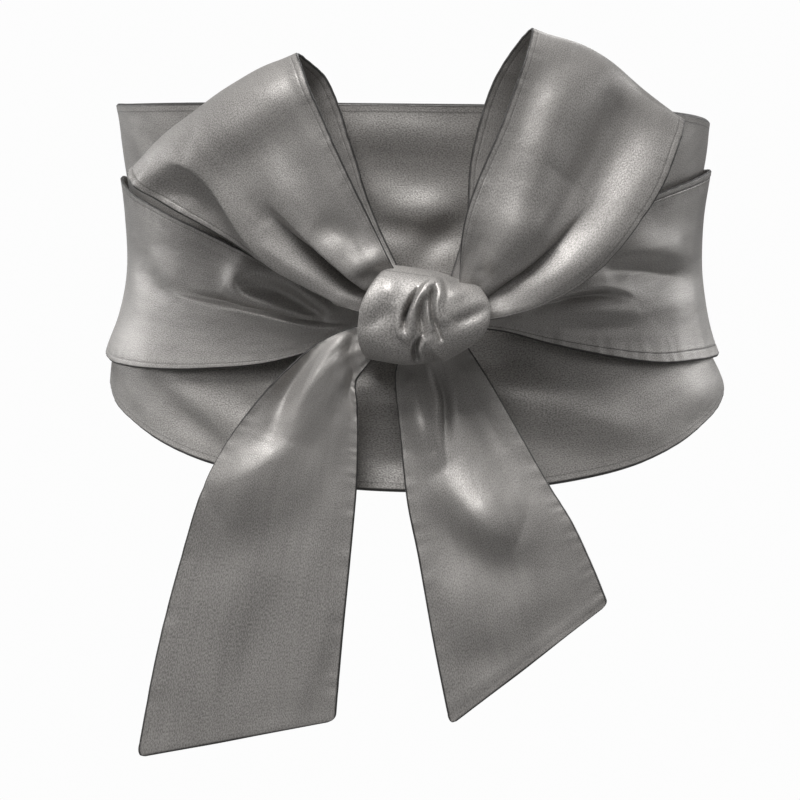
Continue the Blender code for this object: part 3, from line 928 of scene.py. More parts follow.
@dataclass
class TieWrap:
    """One tie's way round the waist. side is 1 where it comes round from the right to the
    left of the front, and -1 the other way. No crease presses it nearer to the form than its
    clearance. Mesh lines are crowded towards the knot, where gathering is below 1."""

    name: str
    node: str
    form: WornForm
    side: float
    rows: tuple[WrapRow, ...]
    creases: tuple[Crease, ...]
    seed: int
    clearance: float = 2.9 * MM
    spare: float = 0.4 * MM
    unevenness: float = 0.5 * MM
    gathering: float = 0.72
    lines: int = 340
    hem: Hem = Hem(width=2.7 * MM, groove=0.20 * MM, pucker=0.08 * MM)
    step: float = 0.95 * MM
    zone: float = EDGE_ZONE
    upper_less: float = 0.0

    def build(self, finish: bpy.types.Material) -> bpy.types.Object:
        """Builds the stretch of tie over its solid.

        Args:
            finish: its satin.

        Returns:
            The stretch of tie.
        """
        share_along = np.linspace(0, 1, self.lines) ** self.gathering
        lines_across = cloth_lines(TIE_WIDTH, step=self.step, zone=self.zone)
        share_along, share = np.meshgrid(share_along, lines_across, indexing="ij")
        first, last = self.rows[0][0], self.rows[-1][0]
        turned = first + (last - first) * share_along
        lower, upper, out = np.moveaxis(smooth_table(self.rows, turned), -1, 0)
        along = np.radians(turned - first) * WAIST_RADIUS
        across = share * TIE_WIDTH
        heights = lower + (upper - lower) * share
        degrees = self.side * turned
        smooth = self.form.outside(degrees, heights, out)
        charts = {Chart.FRONT: seen_from_front(smooth), Chart.CLOTH: np.stack([along, across], -1)}
        in_front = eased(-smooth[..., 1], -0.005, 0.012)
        height, pull = creased(smooth, charts, self.creases, in_front)
        height += settled(along, across, self.unevenness, self.seed)
        lowest = np.minimum(out, self.clearance)
        free = out + height - lowest
        least = 2 * self.spare
        pressed = least * np.exp(np.minimum(free, least) / self.spare - 2)
        out = lowest + np.where(free > least, free, pressed)
        middle = relaxed(self.form.outside(degrees, heights, out) + pull, 2)
        shell = ClothShell(self.name, middle, along, across, TIE_WALL, self.hem, self.upper_less)
        piece = dress(shell.build(), finish, self.node)
        return piece


class StripRow(NamedTuple):
    """One line across a tie: its two edges, and how far its middle bellies out to the back
    and up."""

    inner: tuple[float, float, float]
    outer: tuple[float, float, float]
    belly: tuple[float, float]


@dataclass
class BowStrip:
    """A stretch of tie in the bow, through rows across it. Its small unevenness dies away over calm_start and
    calm_end, shares of its length. area_share, how much of the cut strip is left within its edges and
    gathers, is not used."""

    name: str
    node: str
    rows: tuple[StripRow, ...]
    length: float
    creases: tuple[Crease, ...]
    seed: int
    hem: Hem = Hem()
    soften_rounds: int = 1
    step: float = MIDDLE_STEP
    hemmed_end: bool = False
    unevenness: float = 0.9 * MM
    calm_start: float = 0.12
    calm_end: float = 0.05
    area_share: float = 0.8

    def front_share(self, share_along: np.ndarray) -> np.ndarray:
        """How far each place belongs to the layer that shows in front."""
        return np.ones_like(share_along)

    def lines_along(self) -> np.ndarray:
        """Shares of the length at which the mesh has lines."""
        return cloth_lines(self.length, (False, False), self.step)

    def within_corners(self, share_along: np.ndarray, share: np.ndarray) -> np.ndarray:
        """Shares of the width, drawn in where the cloth's corners are rounded."""
        return share

    def build(self, finish: bpy.types.Material) -> bpy.types.Object:
        """Builds the stretch of tie over its solid.

        Args:
            finish: its satin.

        Returns:
            The stretch of tie.
        """
        lines_across = cloth_lines(TIE_WIDTH, step=self.step)
        share_along, share = np.meshgrid(self.lines_along(), lines_across, indexing="ij")
        stations = np.linspace(0, 1, len(self.rows))
        table = [(at, *r.inner, *r.outer, *r.belly) for at, r in zip(stations, self.rows)]
        values = smooth_table(table, share_along)
        inner, outer = values[..., 0:3], values[..., 3:6]
        share = self.within_corners(share_along, share)
        smooth = inner + (outer - inner) * share[..., None]
        smooth[..., 1:3] += values[..., 6:8] * np.sin(math.pi * share)[..., None]
        along, across = share_along * self.length, share * TIE_WIDTH
        charts = {Chart.FRONT: seen_from_front(smooth), Chart.CLOTH: np.stack([along, across], -1)}
        normals = grid_normals(smooth)
        shown = normals[-len(normals) // 4, normals.shape[1] // 2]
        outward = normals if shown[1] < 0 else -normals
        height, pull = creased(smooth, charts, self.creases, self.front_share(share_along))
        calm = eased(share_along, 0, self.calm_start) * eased(1 - share_along, 0, self.calm_end)
        height += settled(along, across, self.unevenness, self.seed) * calm
        middle = relaxed(smooth + outward * height[..., None] + pull, self.soften_rounds)
        shell = ClothShell(self.name, middle, along, across, TIE_WALL, self.hem,
                           hemmed_end=self.hemmed_end)
        piece = dress(shell.build(), finish, self.node)
        return piece


@dataclass
class BowLoop(BowStrip):
    """A loop of the bow: out along its back layer, over the fold, and back in front."""

    def lines_along(self) -> np.ndarray:
        """Shares of the length, further apart on the hidden back layer."""
        back = cloth_lines(self.length / 2, (False, False), HIDDEN_STEP)[:-1] / 2
        return np.concatenate([back, 0.5 + cloth_lines(self.length / 2, (False, False)) / 2])

    def front_share(self, share_along: np.ndarray) -> np.ndarray:
        """1 on the loop's front layer and 0 on its back layer."""
        return eased(share_along, 0.46, 0.54)


@dataclass
class BowTail(BowStrip):
    """A tail of the bow, from the knot down to its slanting cut end."""

    corner: float = 3.0 * MM
    step: float = 1.0 * MM
    hemmed_end: bool = True
    hem: Hem = Hem(groove=0.08 * MM, thicker=0.12 * MM)

    def lines_along(self) -> np.ndarray:
        """Shares of the length, closer together at the hemmed end."""
        return cloth_lines(self.length, (False, True), self.step)

    def within_corners(self, share_along: np.ndarray, share: np.ndarray) -> np.ndarray:
        """Draws the cloth in round the two corners of its hemmed end.

        Args:
            share_along: shares of its length.
            share: shares of its width.

        Returns:
            The new shares of its width.
        """
        to_end = np.clip((1 - share_along) * self.length, 0, self.corner)
        inset = self.corner - np.sqrt(to_end * (2 * self.corner - to_end))
        return (inset + share * (TIE_WIDTH - 2 * inset)) / TIE_WIDTH


class KnotRing(NamedTuple):
    """One ring round the knot: its top and bottom as (x, z), its half depth, and how far its
    front and back stand to the side of the line between them."""

    top: tuple[float, float]
    bottom: tuple[float, float]
    half_depth: float
    bulge: float


@dataclass
class BowKnot:
    """The knot, its packed layers one rounded body with the folds of its outer band."""

    centre_y: float = -0.1320
    hollow: float = 0.004
    fullness: float = 0.88
    crowding: float = 0.5
    rows: int = 190
    columns: int = 250
    band_length: float = 0.120
    band_width: float = 0.050
    rings: tuple[KnotRing, ...] = (
        KnotRing((-0.0120, 0.0120), (-0.0190, -0.0170), 0.0120, -0.0040),
        KnotRing((-0.0118, 0.0162), (-0.0203, -0.0216), 0.0152, -0.0066),
        KnotRing((-0.0065, 0.0160), (-0.0125, -0.0236), 0.0174, -0.0040),
        KnotRing((0.0020, 0.0148), (-0.0030, -0.0248), 0.0182, -0.0006),
        KnotRing((0.0105, 0.0132), (0.0070, -0.0236), 0.0180, 0.0000),
        KnotRing((0.0180, 0.0104), (0.0145, -0.0218), 0.0172, 0.0022),
        KnotRing((0.0248, 0.0092), (0.0204, -0.0182), 0.0148, 0.0076),
        KnotRing((0.0242, 0.0058), (0.0208, -0.0132), 0.0116, 0.0058),
    )
    creases: tuple[Crease, ...] = (
        Crease(((1, 7, -1.4), (-1.4, 3.6, -4.4), (-3.2, 0, -6), (-4.4, -4, -6), (-4.8, -8, -3)), 1.2, 0.8),
        Crease(((-6.4, -3, 0.2), (-6.4, -7, 0.8), (-5.4, -10.4, 1.4), (-3, -11.6, 1.6), (-1.8, -8, 1.6),
                (-1.2, -3, 2), (0.4, 1.5, 2.4), (3, 5.6, 2.6), (6, 8.4, 2.6), (8.8, 9, 2.4), (9.8, 5.6, 2),
                (8.8, 1, 1.6), (9.2, -3, 1.4), (11.6, -5.6, 1), (14, -6.6, 0.2)), 2.1, 2.1, 0, 3.0),
        Crease(((3.4, 2.6, -1.4), (2.6, -1, -3), (2.4, -5, -3.4), (3, -10.4, -2)), 1.7, 1.5),
        Crease(((5.2, 5.2, 0.4), (5.9, 1, 1), (6, -4, 1), (7, -9, 0.6)), 0.9, 0.9),
        Crease(((7.2, 6, -2), (6.8, 2, -4), (7.1, -3, -4.6), (8.4, -8, -4), (10.4, -13, -1.6)), 1.0, 1.2),
        Crease(((2.8, -12.2, -1.4), (0.8, -14.6, -3.4), (-0.3, -18, -4.6), (0.2, -22, -4)), 1.5, 0.9),
        Crease(((3, -13.5, 0.6), (2.2, -17, 1.4), (3.6, -21, 1.6)), 1.4, 1.8),
        Crease(((6.4, -14, 0.8), (8.6, -17.6, 1.6), (12.6, -22.6, 2)), 2.2, 1.6),
        Crease(((5.4, -19, -0.6), (8.2, -21.4, -1.6), (10.4, -23.6, -1.4)), 1.2, 1.2),
        Crease(((-10.4, 1.6, -0.6), (-12.6, -2.6, -1.5), (-16, -5.6, -1.4), (-20.4, -7.4, -0.8)), 3.4, 4.2),
        Crease(((-9, 12, 0.3), (-10.5, 7, 0.9), (-8.5, 2.5, 0.5)), 4, 4),
        Crease(((13, -7, -0.5), (18, -5.6, -1.5), (23, -3.4, -1.7), (28, -1, -1.2)), 2.6, 3.2),
        Crease(((12, 4.4, 0.3), (17, 5.6, 0.9), (22, 7.4, 0.9), (25.6, 8.4, 0.4)), 2.6, 2.8),
        Crease(((-18, -13, 0.3), (-11, -17, 0.8), (-4, -19, 0.5)), 3.4, 3.4),
    )

    def crowded(self, shares: np.ndarray, centre: float) -> np.ndarray:
        """Shares of a length or a girth, closer together about a centre."""
        turn = 2 * math.pi
        return shares - self.crowding * np.sin(turn * (shares - centre)) / turn

    def build(self, finish: bpy.types.Material) -> bpy.types.Object:
        """Builds the knot over its solid.

        Args:
            finish: its satin.

        Returns:
            The knot.
        """
        stations = np.linspace(0, 1, len(self.rings))
        table = [(at, *k.top, *k.bottom, k.half_depth, k.bulge) for at, k in zip(stations, self.rings)]
        along, around = np.meshgrid(
            self.crowded(np.linspace(0, 1, self.rows), 0.5),
            self.crowded(np.linspace(0, 1, self.columns, endpoint=False), 0.25),
            indexing="ij",
        )
        top_x, top_z, low_x, low_z, half_depth, bulge = np.moveaxis(smooth_table(table, along), -1, 0)
        up, front = np.cos(2 * math.pi * around), np.sin(2 * math.pi * around)
        full_up = np.sign(up) * np.abs(up) ** self.fullness
        full_front = np.sign(front) * np.abs(front) ** self.fullness
        x = (top_x + low_x) / 2 + (top_x - low_x) / 2 * up + bulge * front**2
        z = (top_z + low_z) / 2 + (top_z - low_z) / 2 * full_up
        smooth = np.stack([x, self.centre_y - half_depth * full_front, z], axis=-1)
        centre = np.stack([(top_x + low_x) / 2, np.full_like(x, self.centre_y), (top_z + low_z) / 2], -1)
        charts = {Chart.FRONT: seen_from_front(smooth)}
        height, _ = creased(smooth, charts, self.creases, np.sqrt(np.maximum(0, front)))
        rings = smooth + unit(smooth - centre) * height[..., None]

        ends = rings[[0, -1]].mean(axis=1)
        inwards = unit(rings[self.rows // 2].mean(axis=0) - ends)
        points = np.concatenate([rings.reshape(-1, 3), ends + inwards * self.hollow])
        r, c = np.meshgrid(np.arange(self.rows - 1), np.arange(self.columns), indexing="ij")
        beyond = (c + 1) % self.columns
        quads = np.stack([r * self.columns + c, r * self.columns + beyond,
                          (r + 1) * self.columns + beyond, (r + 1) * self.columns + c], -1)
        c = np.arange(self.columns)
        beyond = (c + 1) % self.columns
        last = (self.rows - 1) * self.columns
        mouth = np.full_like(c, self.rows * self.columns)
        triangles = np.concatenate([
            np.stack([mouth, beyond, c], axis=-1),
            np.stack([mouth + 1, last + c, last + beyond], axis=-1),
        ])
        inside = np.full_like(along, self.band_width)
        flat = np.stack([around * self.band_length, along * self.band_width, inside], -1).reshape(-1, 3)
        flat = np.concatenate([flat, flat[[0, -1]]])
        made = add_mesh("bow_knot", points, quads.reshape(-1, 4), triangles, flat)
        return dress(made, finish, "knot")


@dataclass(frozen=True)
class SoftLight:
    """A large soft lamp: its place, what it faces, its size and its power."""

    name: str
    place: tuple[float, float, float]
    faces: tuple[float, float, float]
    size: float
    power: float

    def build(self) -> bpy.types.Object:
        """Builds the lamp, which the camera doesn't see.

        Returns:
            The lamp.
        """
        lamp = bpy.data.lights.new(self.name, "AREA")
        lamp.shape = "DISK"
        lamp.size = self.size
        lamp.energy = self.power
        made = bpy.data.objects.new(self.name, lamp)
        bpy.context.scene.collection.objects.link(made)
        made.location = self.place
        aim = Vector(self.faces) - Vector(self.place)
        made.rotation_euler = aim.to_track_quat("-Z", "Y").to_euler()
        made.visible_camera = False
        return made


@dataclass
class Studio:
    """The pale floor that curves up into a wall all round, the lamps and the camera."""

    floor_height: float = -1.1
    radius: float = 3.4
    wall_top: float = 3.2
    curve: float = 1.1
    floor_colour: tuple[float, float, float] = (0.35, 0.35, 0.35)
    floor_light: float = 0.98
    sky_strength: float = 0.38
    lamps: tuple[SoftLight, ...] = (
        SoftLight("key", (-0.35, -1.0, 1.55), (0, -0.08, 0), 0.95, 43.0),
        SoftLight("front", (-0.35, -1.55, 0.95), (0, 0, 0), 0.9, 2.5),
        SoftLight("left side", (-1.7, -0.25, 0.3), (0, 0, 0), 0.8, 2.5),
        SoftLight("right side", (1.7, -0.25, 0.3), (0, 0, 0), 0.8, 2.5),
        SoftLight("left rim", (-1.4, 0.8, 0.4), (0, 0, 0), 0.8, 7.0),
        SoftLight("right rim", (1.4, 0.8, 0.4), (0, 0, 0), 0.8, 7.0),
        SoftLight("back", (0.3, 1.6, 1.3), (0, 0, 0), 1.2, 10.0),
    )
    camera_place: tuple[float, float, float] = (0.0, -1.3, 0.082)
    camera_faces: tuple[float, float, float] = (-0.0069, 0.0, -0.0532)
    sensor: float = 36.0
    lens: float = 128.0

    def build(self) -> None:
        """Builds the floor, the lamps, the sky and the camera."""
        self.floor()
        for lamp in self.lamps:
            lamp.build()
        self.sky()
        self.camera()
        bpy.context.scene.view_settings.view_transform = "Standard"
        log.info("studio: floor, %d lamps and the camera", len(self.lamps))

    def floor(self) -> bpy.types.Object:
        """Builds the floor as a turned bowl.

        Returns:
            The floor.
        """
        sides, curve_rings = 64, 12
        turn = np.linspace(0, math.pi / 2, curve_rings)
        flat_end = self.radius - self.curve
        out = [0.0, flat_end / 2, *(flat_end + self.curve * np.sin(turn)), self.radius]
        up = [0.0, 0.0, *(self.curve * (1 - np.cos(turn))), self.wall_top - self.floor_height]
        angles = np.linspace(0, 2 * math.pi, sides, endpoint=False)
        points = [(0.0, 0.0, self.floor_height)]
        for o, u in zip(out[1:], up[1:]):
            points += [(o * math.cos(a), o * math.sin(a), self.floor_height + u) for a in angles]
        faces = [(0, 1 + k, 1 + (k + 1) % sides) for k in range(sides)]
        for ring in range(len(out) - 2):
            base = 1 + ring * sides
            for k in range(sides):
                beyond = (k + 1) % sides
                faces.append((base + k, base + sides + k, base + sides + beyond, base + beyond))
        mesh = bpy.data.meshes.new("floor")
        mesh.from_pydata(points, [], faces)
        mesh.shade_smooth()
        mesh.materials.append(self.floor_material())
        made = bpy.data.objects.new("floor", mesh)
        bpy.context.scene.collection.objects.link(made)
        return made

    def floor_material(self) -> bpy.types.Material:
        """The floor's pale paper, lit evenly where the camera sees it.

        Returns:
            The material.
        """
        made = bpy.data.materials.new("pale paper")
        made.use_nodes = True
        tree = made.node_tree
        paper = tree.nodes["Principled BSDF"]
        paper.inputs["Base Color"].default_value = (*self.floor_colour, 1)
        paper.inputs["Roughness"].default_value = 0.9
        even = tree.nodes.new("ShaderNodeEmission")
        even.inputs["Strength"].default_value = self.floor_light
        seen = tree.nodes.new("ShaderNodeLightPath")
        both = tree.nodes.new("ShaderNodeMixShader")
        tree.links.new(seen.outputs["Is Camera Ray"], both.inputs[0])
        tree.links.new(paper.outputs[0], both.inputs[1])
        tree.links.new(even.outputs[0], both.inputs[2])
        tree.links.new(both.outputs[0], tree.nodes["Material Output"].inputs["Surface"])
        return made

    def sky(self) -> None:
        """Makes the pale light that comes from all round."""
        world = bpy.data.worlds.new("soft daylight")
        bpy.context.scene.world = world
        world.use_nodes = True
        light = world.node_tree.nodes["Background"]
        light.inputs["Color"].default_value = (1.0, 1.0, 1.0, 1)
        light.inputs["Strength"].default_value = self.sky_strength

    def camera(self) -> None:
        """Places the camera at the photograph's angle."""
        lens = bpy.data.cameras.new("camera")
        lens.sensor_width = self.sensor
        lens.lens = self.lens
        lens.clip_start, lens.clip_end = 0.05, 20.0
        made = bpy.data.objects.new("camera", lens)
        bpy.context.scene.collection.objects.link(made)
        made.location = self.camera_place
        aim = Vector(self.camera_faces) - Vector(self.camera_place)
        made.rotation_euler = aim.to_track_quat("-Z", "Y").to_euler()
        bpy.context.scene.camera = made


# The ties on the waist, from the back round to the knot
WRAP_LEFT_ROWS = (
    WrapRow(158.2, -0.014, 0.034, 0.0010),
    WrapRow(166.0, -0.018, 0.028, 0.0015),
    WrapRow(180.0, -0.027, 0.018, 0.0017),
    WrapRow(191.0, -0.038, 0.005, 0.0018),
    WrapRow(201.0, -0.045, 0.001, 0.0042),
    WrapRow(210.0, -0.0475, 0.008, 0.0044),
    WrapRow(225.0, -0.046, 0.020, 0.0040),
    WrapRow(248.0, -0.038, 0.040, 0.0036),
    WrapRow(270.0, -0.030, 0.049, 0.0036),
    WrapRow(296.0, -0.032, 0.0415, 0.0058),
    WrapRow(322.5, -0.030, 0.0245, 0.0080),
    WrapRow(336.0, -0.026, 0.012, 0.0100),
    WrapRow(346.0, -0.019, 0.003, 0.0140),
    WrapRow(353.5, -0.013, -0.002, 0.0198),
)
WRAP_LEFT_CREASES = (
    Crease(((-104, -1, 0.3), (-94, -3, 1.4), (-86, -4.4, 2.6), (-74.5, -6, 3.4), (-60.5, -8.5, 3.4),
            (-47, -11.2, 3.0), (-33.5, -12, 2.2)), 1.3, 11, 1.4, 1.6),
    Crease(((-98, 1.5, -0.2), (-90, -0.5, -1.2), (-80, -2, -2.0), (-70, -3.4, -2.2), (-58, -6, -2.2),
            (-45, -8.6, -1.8), (-36, -9.8, -1.0)), 2, 1.4, 0, 1.6),
    Crease(((-58, 9.5, 0.8), (-64, 12, 2.2), (-69, 12.6, 3.2), (-73.5, 10.2, 3.8), (-75, 5.5, 4.0),
            (-72, 0.6, 3.8), (-65, -2.8, 3.6), (-56, -6.0, 3.2), (-47, -9.4, 2.6), (-38, -11.6, 1.4)),
           4.2, 5.4),
    Crease(((-66, 6.8, -0.6), (-60, 4.6, -1.6), (-53, 1.2, -2.0), (-46, -2.4, -2.0), (-39, -6.5, -1.6)),
           3.2, 3.6),
    Crease(((-60, 13.5, 0.6), (-52, 8, 1.6), (-44, 2, 1.6), (-36, -4.4, 1.2)), 3.2, 3.2),
    Crease(((-124, 23.5, -0.4), (-121, 15, -1.0), (-117.5, 7.5, -1.2), (-111.5, 1.5, -1.0),
            (-102.5, -1.5, -0.4)), 7, 5.5),
    Crease(((-111.5, 21.5, 0.3), (-110.5, 14.5, 0.8), (-105, 6.5, 1.0), (-96.5, 2, 0.4)), 8, 7),
    Crease(((44, 62, -0.3), (74, 56, -1.0), (104, 58, -0.4)), 6, 7, chart=Chart.CLOTH),
    Crease(((52, 24, -0.3), (86, 28, -1.1), (122, 22, -0.4)), 7, 5, chart=Chart.CLOTH),
    Crease(((124, 58, 0.3), (156, 52, 1.5), (188, 54, 1.3), (222, 48, 0.3)), 6, 8, chart=Chart.CLOTH),
    Crease(((130, 18, 0.3), (166, 25, 1.2), (205, 22, 0.5)), 8, 6, chart=Chart.CLOTH),
)
WRAP_RIGHT_ROWS = (
    WrapRow(158.2, 0.004, 0.052, 0.0010),
    WrapRow(165.0, 0.004, 0.048, 0.0050),
    WrapRow(180.0, -0.012, 0.034, 0.0058),
    WrapRow(195.0, -0.026, 0.024, 0.0056),
    WrapRow(212.0, -0.034, 0.024, 0.0044),
    WrapRow(235.0, -0.034, 0.042, 0.0036),
    WrapRow(270.0, -0.031, 0.052, 0.0040),
    WrapRow(299.0, -0.0295, 0.048, 0.0062),
    WrapRow(313.0, -0.0285, 0.042, 0.0074),
    WrapRow(325.0, -0.0240, 0.033, 0.0086),
    WrapRow(336.0, -0.0180, 0.020, 0.0106),
    WrapRow(345.0, -0.0120, 0.009, 0.0146),
    WrapRow(351.5, -0.0100, 0.002, 0.0196),
)
WRAP_RIGHT_CREASES = (
    Crease(((79.5, 9.5, -1.0), (88, 10.8, -3.0), (99.5, 10.4, -3.8), (109.5, 8.4, -3.0), (117, 5.5, -0.6)),
           4.6, 6.5, 0, 1.7),
    Crease(((81.5, 18, 0.6), (93.5, 20, 2.0), (106.5, 18.5, 2.0), (117.5, 15.5, 0.6)), 9, 5),
    Crease(((56.5, -0.5, 0.6), (63.5, 3.4, 2.0), (72, 5.6, 3.0), (81, 5.8, 3.0), (89, 4, 2.2), (95, 0.5, 1.0),
            (96.5, -4, 0.2)), 5.5, 2.4, 0.8),
    Crease(((49.5, -3, -0.6), (60.5, 0.2, -2.0), (72, 1, -2.6), (80.5, 1, -2.0), (88, -1.5, -0.6)),
           1.8, 3.0, 0, 1.6),
    Crease(((44.5, -7.5, 0.4), (58.5, -5, 1.2), (73.5, -3.5, 2.0), (85.5, -4, 1.8), (94, -5, 0.6)), 4.4, 6),
    Crease(((62, -11.5, -0.4), (74.5, -13.5, -1.2), (89.5, -13.5, -1.4), (101, -11.5, -0.4)), 5, 6),
    Crease(((96, -6, 0.4), (106, -4, 1.4), (117, -5, 1.0)), 8, 8),
    Crease(((22, 58, 0.3), (54, 50, 1.5), (88, 52, 1.6), (128, 60, 0.4)), 7, 8, chart=Chart.CLOTH),
    Crease(((30, 20, 0.3), (66, 26, 1.3), (104, 20, 0.5)), 6, 8, chart=Chart.CLOTH),
    Crease(((118, 40, -0.3), (150, 34, -1.2), (190, 38, -1.0), (224, 30, -0.3)), 6, 6, chart=Chart.CLOTH),
    Crease(((140, 66, 0.3), (176, 62, 1.4), (216, 68, 0.4)), 6, 9, chart=Chart.CLOTH),
)

# The bow's loops, from the knot out along the back layer and back in front
LOOP_LEFT_ROWS = (
    StripRow((-0.006, -0.1275, 0.012), (-0.016, -0.1275, -0.001), (0.000, 0.0)),
    StripRow((-0.018, -0.1190, 0.038), (-0.052, -0.1120, 0.014), (0.001, 0.0)),
    StripRow((-0.027, -0.1150, 0.066), (-0.084, -0.1010, 0.033), (0.002, 0.001)),
    StripRow((-0.036, -0.1150, 0.091), (-0.111, -0.0910, 0.050), (0.002, 0.004)),
    StripRow((-0.0475, -0.1250, 0.1020), (-0.119, -0.0950, 0.0535), (0.000, 0.006)),
    StripRow((-0.0455, -0.1380, 0.096), (-0.115, -0.1085, 0.047), (-0.002, 0.0045)),
    StripRow((-0.035, -0.1420, 0.070), (-0.086, -0.1235, 0.030), (-0.003, 0.0)),
    StripRow((-0.022, -0.1420, 0.042), (-0.052, -0.1290, 0.010), (-0.002, 0.0)),
    StripRow((-0.006, -0.1370, 0.010), (-0.015, -0.1350, -0.006), (0.000, 0.0)),
)
LOOP_LEFT_CREASES = (
    Crease(((-116, 38, -1.0), (-110, 43, -2.8), (-103.5, 47.5, -4.2), (-96.5, 50, -4.6), (-90, 48.5, -3.4),
            (-85, 44, -1.6)), 4, 8),
    Crease(((-93, 58, 0.4), (-87, 55, 2.0), (-81, 48, 3.2), (-75, 39.5, 4.0), (-68.5, 30, 4.6),
            (-61.5, 22.3, 4.6), (-53.5, 16, 4.0), (-45, 11, 3.0), (-33, 4, 1.4)), 13, 1.2, 1.8, 1.5),
    Crease(((-106.5, 43, -0.6), (-96, 44, -2.2), (-86, 38, -3.4), (-78, 30, -3.6), (-70, 20.5, -2.8),
            (-60, 12, -1.2)), 4, 17),
    Crease(((-112, 47.5, 3.0), (-102, 54, 5.0), (-90, 61.5, 6.3), (-77, 70, 6.3), (-63, 79, 5.2),
            (-48, 87, 2.6)), 11.5, 11),
    Crease(((-76, 57, -0.4), (-67, 62, -0.9), (-56, 70, -1.0), (-48, 76, -0.4)), 6, 9),
    Crease(((-57, 36, -1.2), (-49, 28.5, -4.4), (-41, 22, -7.5), (-32, 15, -9.0), (-25, 10, -7.5),
            (-19.5, 6.5, -4)), 1.1, 6, 0, 1.4),
    Crease(((-54, 40, 0.5), (-47.5, 34, 1.5), (-38.5, 25.5, 2.3), (-29, 17.5, 2.8), (-20, 9.5, 2.2)),
           9, 1.2, 1.8, 1.6),
    Crease(((-63, 41, -0.6), (-58, 37.5, -1.6), (-51.5, 32.5, -1.4)), 5, 5),
    Crease(((-66, 28, 0.6), (-56.5, 23, 2.0), (-47.5, 17, 2.6), (-35, 9, 2.4), (-23.5, 1.5, 1.2)), 4, 5),
    Crease(((-27, 15, 0.4), (-22, 17.5, 2.2), (-16.5, 19.5, 2.8), (-12.5, 20.5, 2)), 4.2, 3.2),
    Crease(((-41, 35, -0.8), (-35, 32, -2.4), (-27, 29, -1.8)), 6, 5),
    Crease(((-63, 64, 0.4), (-53.5, 47.5, 1.2), (-47.5, 38, 0.8)), 9, 9),
    Crease(((14, 62, -0.5), (36, 56, -2.4), (62, 52, -3.0), (92, 55, -0.8)), 7, 9, chart=Chart.CLOTH),
    Crease(((20, 28, 0.4), (44, 33, 2.2), (74, 30, 2.6), (108, 22, 0.6)), 9, 7, chart=Chart.CLOTH),
    Crease(((58, 74, 0.3), (82, 70, 1.4), (110, 73, 0.4)), 5, 6, chart=Chart.CLOTH),
)
LOOP_RIGHT_ROWS = (
    StripRow((0.014, -0.1275, 0.008), (0.020, -0.1275, -0.006), (0.000, 0.0)),
    StripRow((0.021, -0.1200, 0.032), (0.058, -0.1160, 0.006), (0.001, 0.0)),
    StripRow((0.024, -0.1160, 0.062), (0.088, -0.1080, 0.030), (0.002, 0.001)),
    StripRow((0.033, -0.1170, 0.092), (0.106, -0.1030, 0.058), (0.002, 0.004)),
    StripRow((0.047, -0.1260, 0.1120), (0.112, -0.1070, 0.075), (0.000, 0.006)),
    StripRow((0.0455, -0.1405, 0.103), (0.110, -0.1190, 0.067), (-0.002, 0.0045)),
    StripRow((0.036, -0.1450, 0.076), (0.096, -0.1280, 0.039), (-0.003, 0.0)),
    StripRow((0.021, -0.1450, 0.0375), (0.066, -0.1340, 0.008), (-0.002, 0.0)),
    StripRow((0.018, -0.1370, 0.006), (0.020, -0.1360, -0.009), (0.000, 0.0)),
)
LOOP_RIGHT_CREASES = (
    Crease(((96, 91, -2.6), (91.5, 82.5, -7.5), (86, 72, -10.8), (79.5, 60, -10.8), (72, 48, -8.0),
            (63.5, 36.5, -4.0), (54, 27.5, -1.4)), 15.5, 13.5, 0, 2.0),
    Crease(((71, 38, -0.6), (62.8, 29.5, -3.0), (55, 22, -5.0), (47.5, 15.5, -6.0), (38.5, 9.5, -5.4),
            (29.7, 3.1, -3.4)), 7, 1.7, 0, 1.5),
    Crease(((97, 48, 0.4), (86, 33, 2.4), (73, 21, 4.0), (60, 11, 4.8), (47, 3, 4.8), (36, -2, 3.8)), 6, 9),
    Crease(((58, 54, 0.8), (51, 43, 4.0), (43, 32, 7.6), (35, 21, 3.8)), 11, 12),
    Crease(((60, 88, 0.4), (56, 76, 1.4), (51, 62, 2.6), (46, 50, 1.6)), 7, 11),
    Crease(((50, 100, -0.6), (47.5, 88, -1.4), (44, 76, -1.4), (40.5, 66, -0.6)), 7, 6),
    Crease(((26, 30.5, -0.6), (26.5, 22, -2.2), (27.5, 15.5, -2.4)), 4, 4),
    Crease(((16, 54, 0.4), (40, 60, 2.2), (66, 58, 2.8), (98, 64, 0.8)), 8, 8, chart=Chart.CLOTH),
    Crease(((24, 30, -0.4), (50, 34, -2.6), (80, 30, -2.8), (112, 34, -0.6)), 7, 10, chart=Chart.CLOTH),
    Crease(((60, 12, 0.3), (88, 15, 1.3), (116, 12, 0.4)), 5, 5, chart=Chart.CLOTH),
)

# The bow's tails, from the knot down
TAIL_LEFT_ROWS = (
    StripRow((-0.015, -0.1290, -0.019), (-0.013, -0.1300, -0.006), (0.000, 0.0)),
    StripRow((-0.024, -0.1300, -0.031), (-0.036, -0.1310, -0.014), (-0.0005, 0.0)),
    StripRow((-0.024, -0.1300, -0.043), (-0.052, -0.1310, -0.026), (-0.001, 0.0)),
    StripRow((-0.024, -0.1300, -0.059), (-0.069, -0.1290, -0.045), (-0.0015, 0.0)),
    StripRow((-0.0245, -0.1310, -0.076), (-0.0825, -0.1260, -0.066), (-0.002, 0.0)),
    StripRow((-0.027, -0.1320, -0.104), (-0.0955, -0.1240, -0.100), (-0.002, 0.0)),
    StripRow((-0.031, -0.1320, -0.145), (-0.1075, -0.1230, -0.145), (-0.001, 0.0)),
    StripRow((-0.0335, -0.1310, -0.1745), (-0.117, -0.1230, -0.1920), (0.000, 0.0)),
)
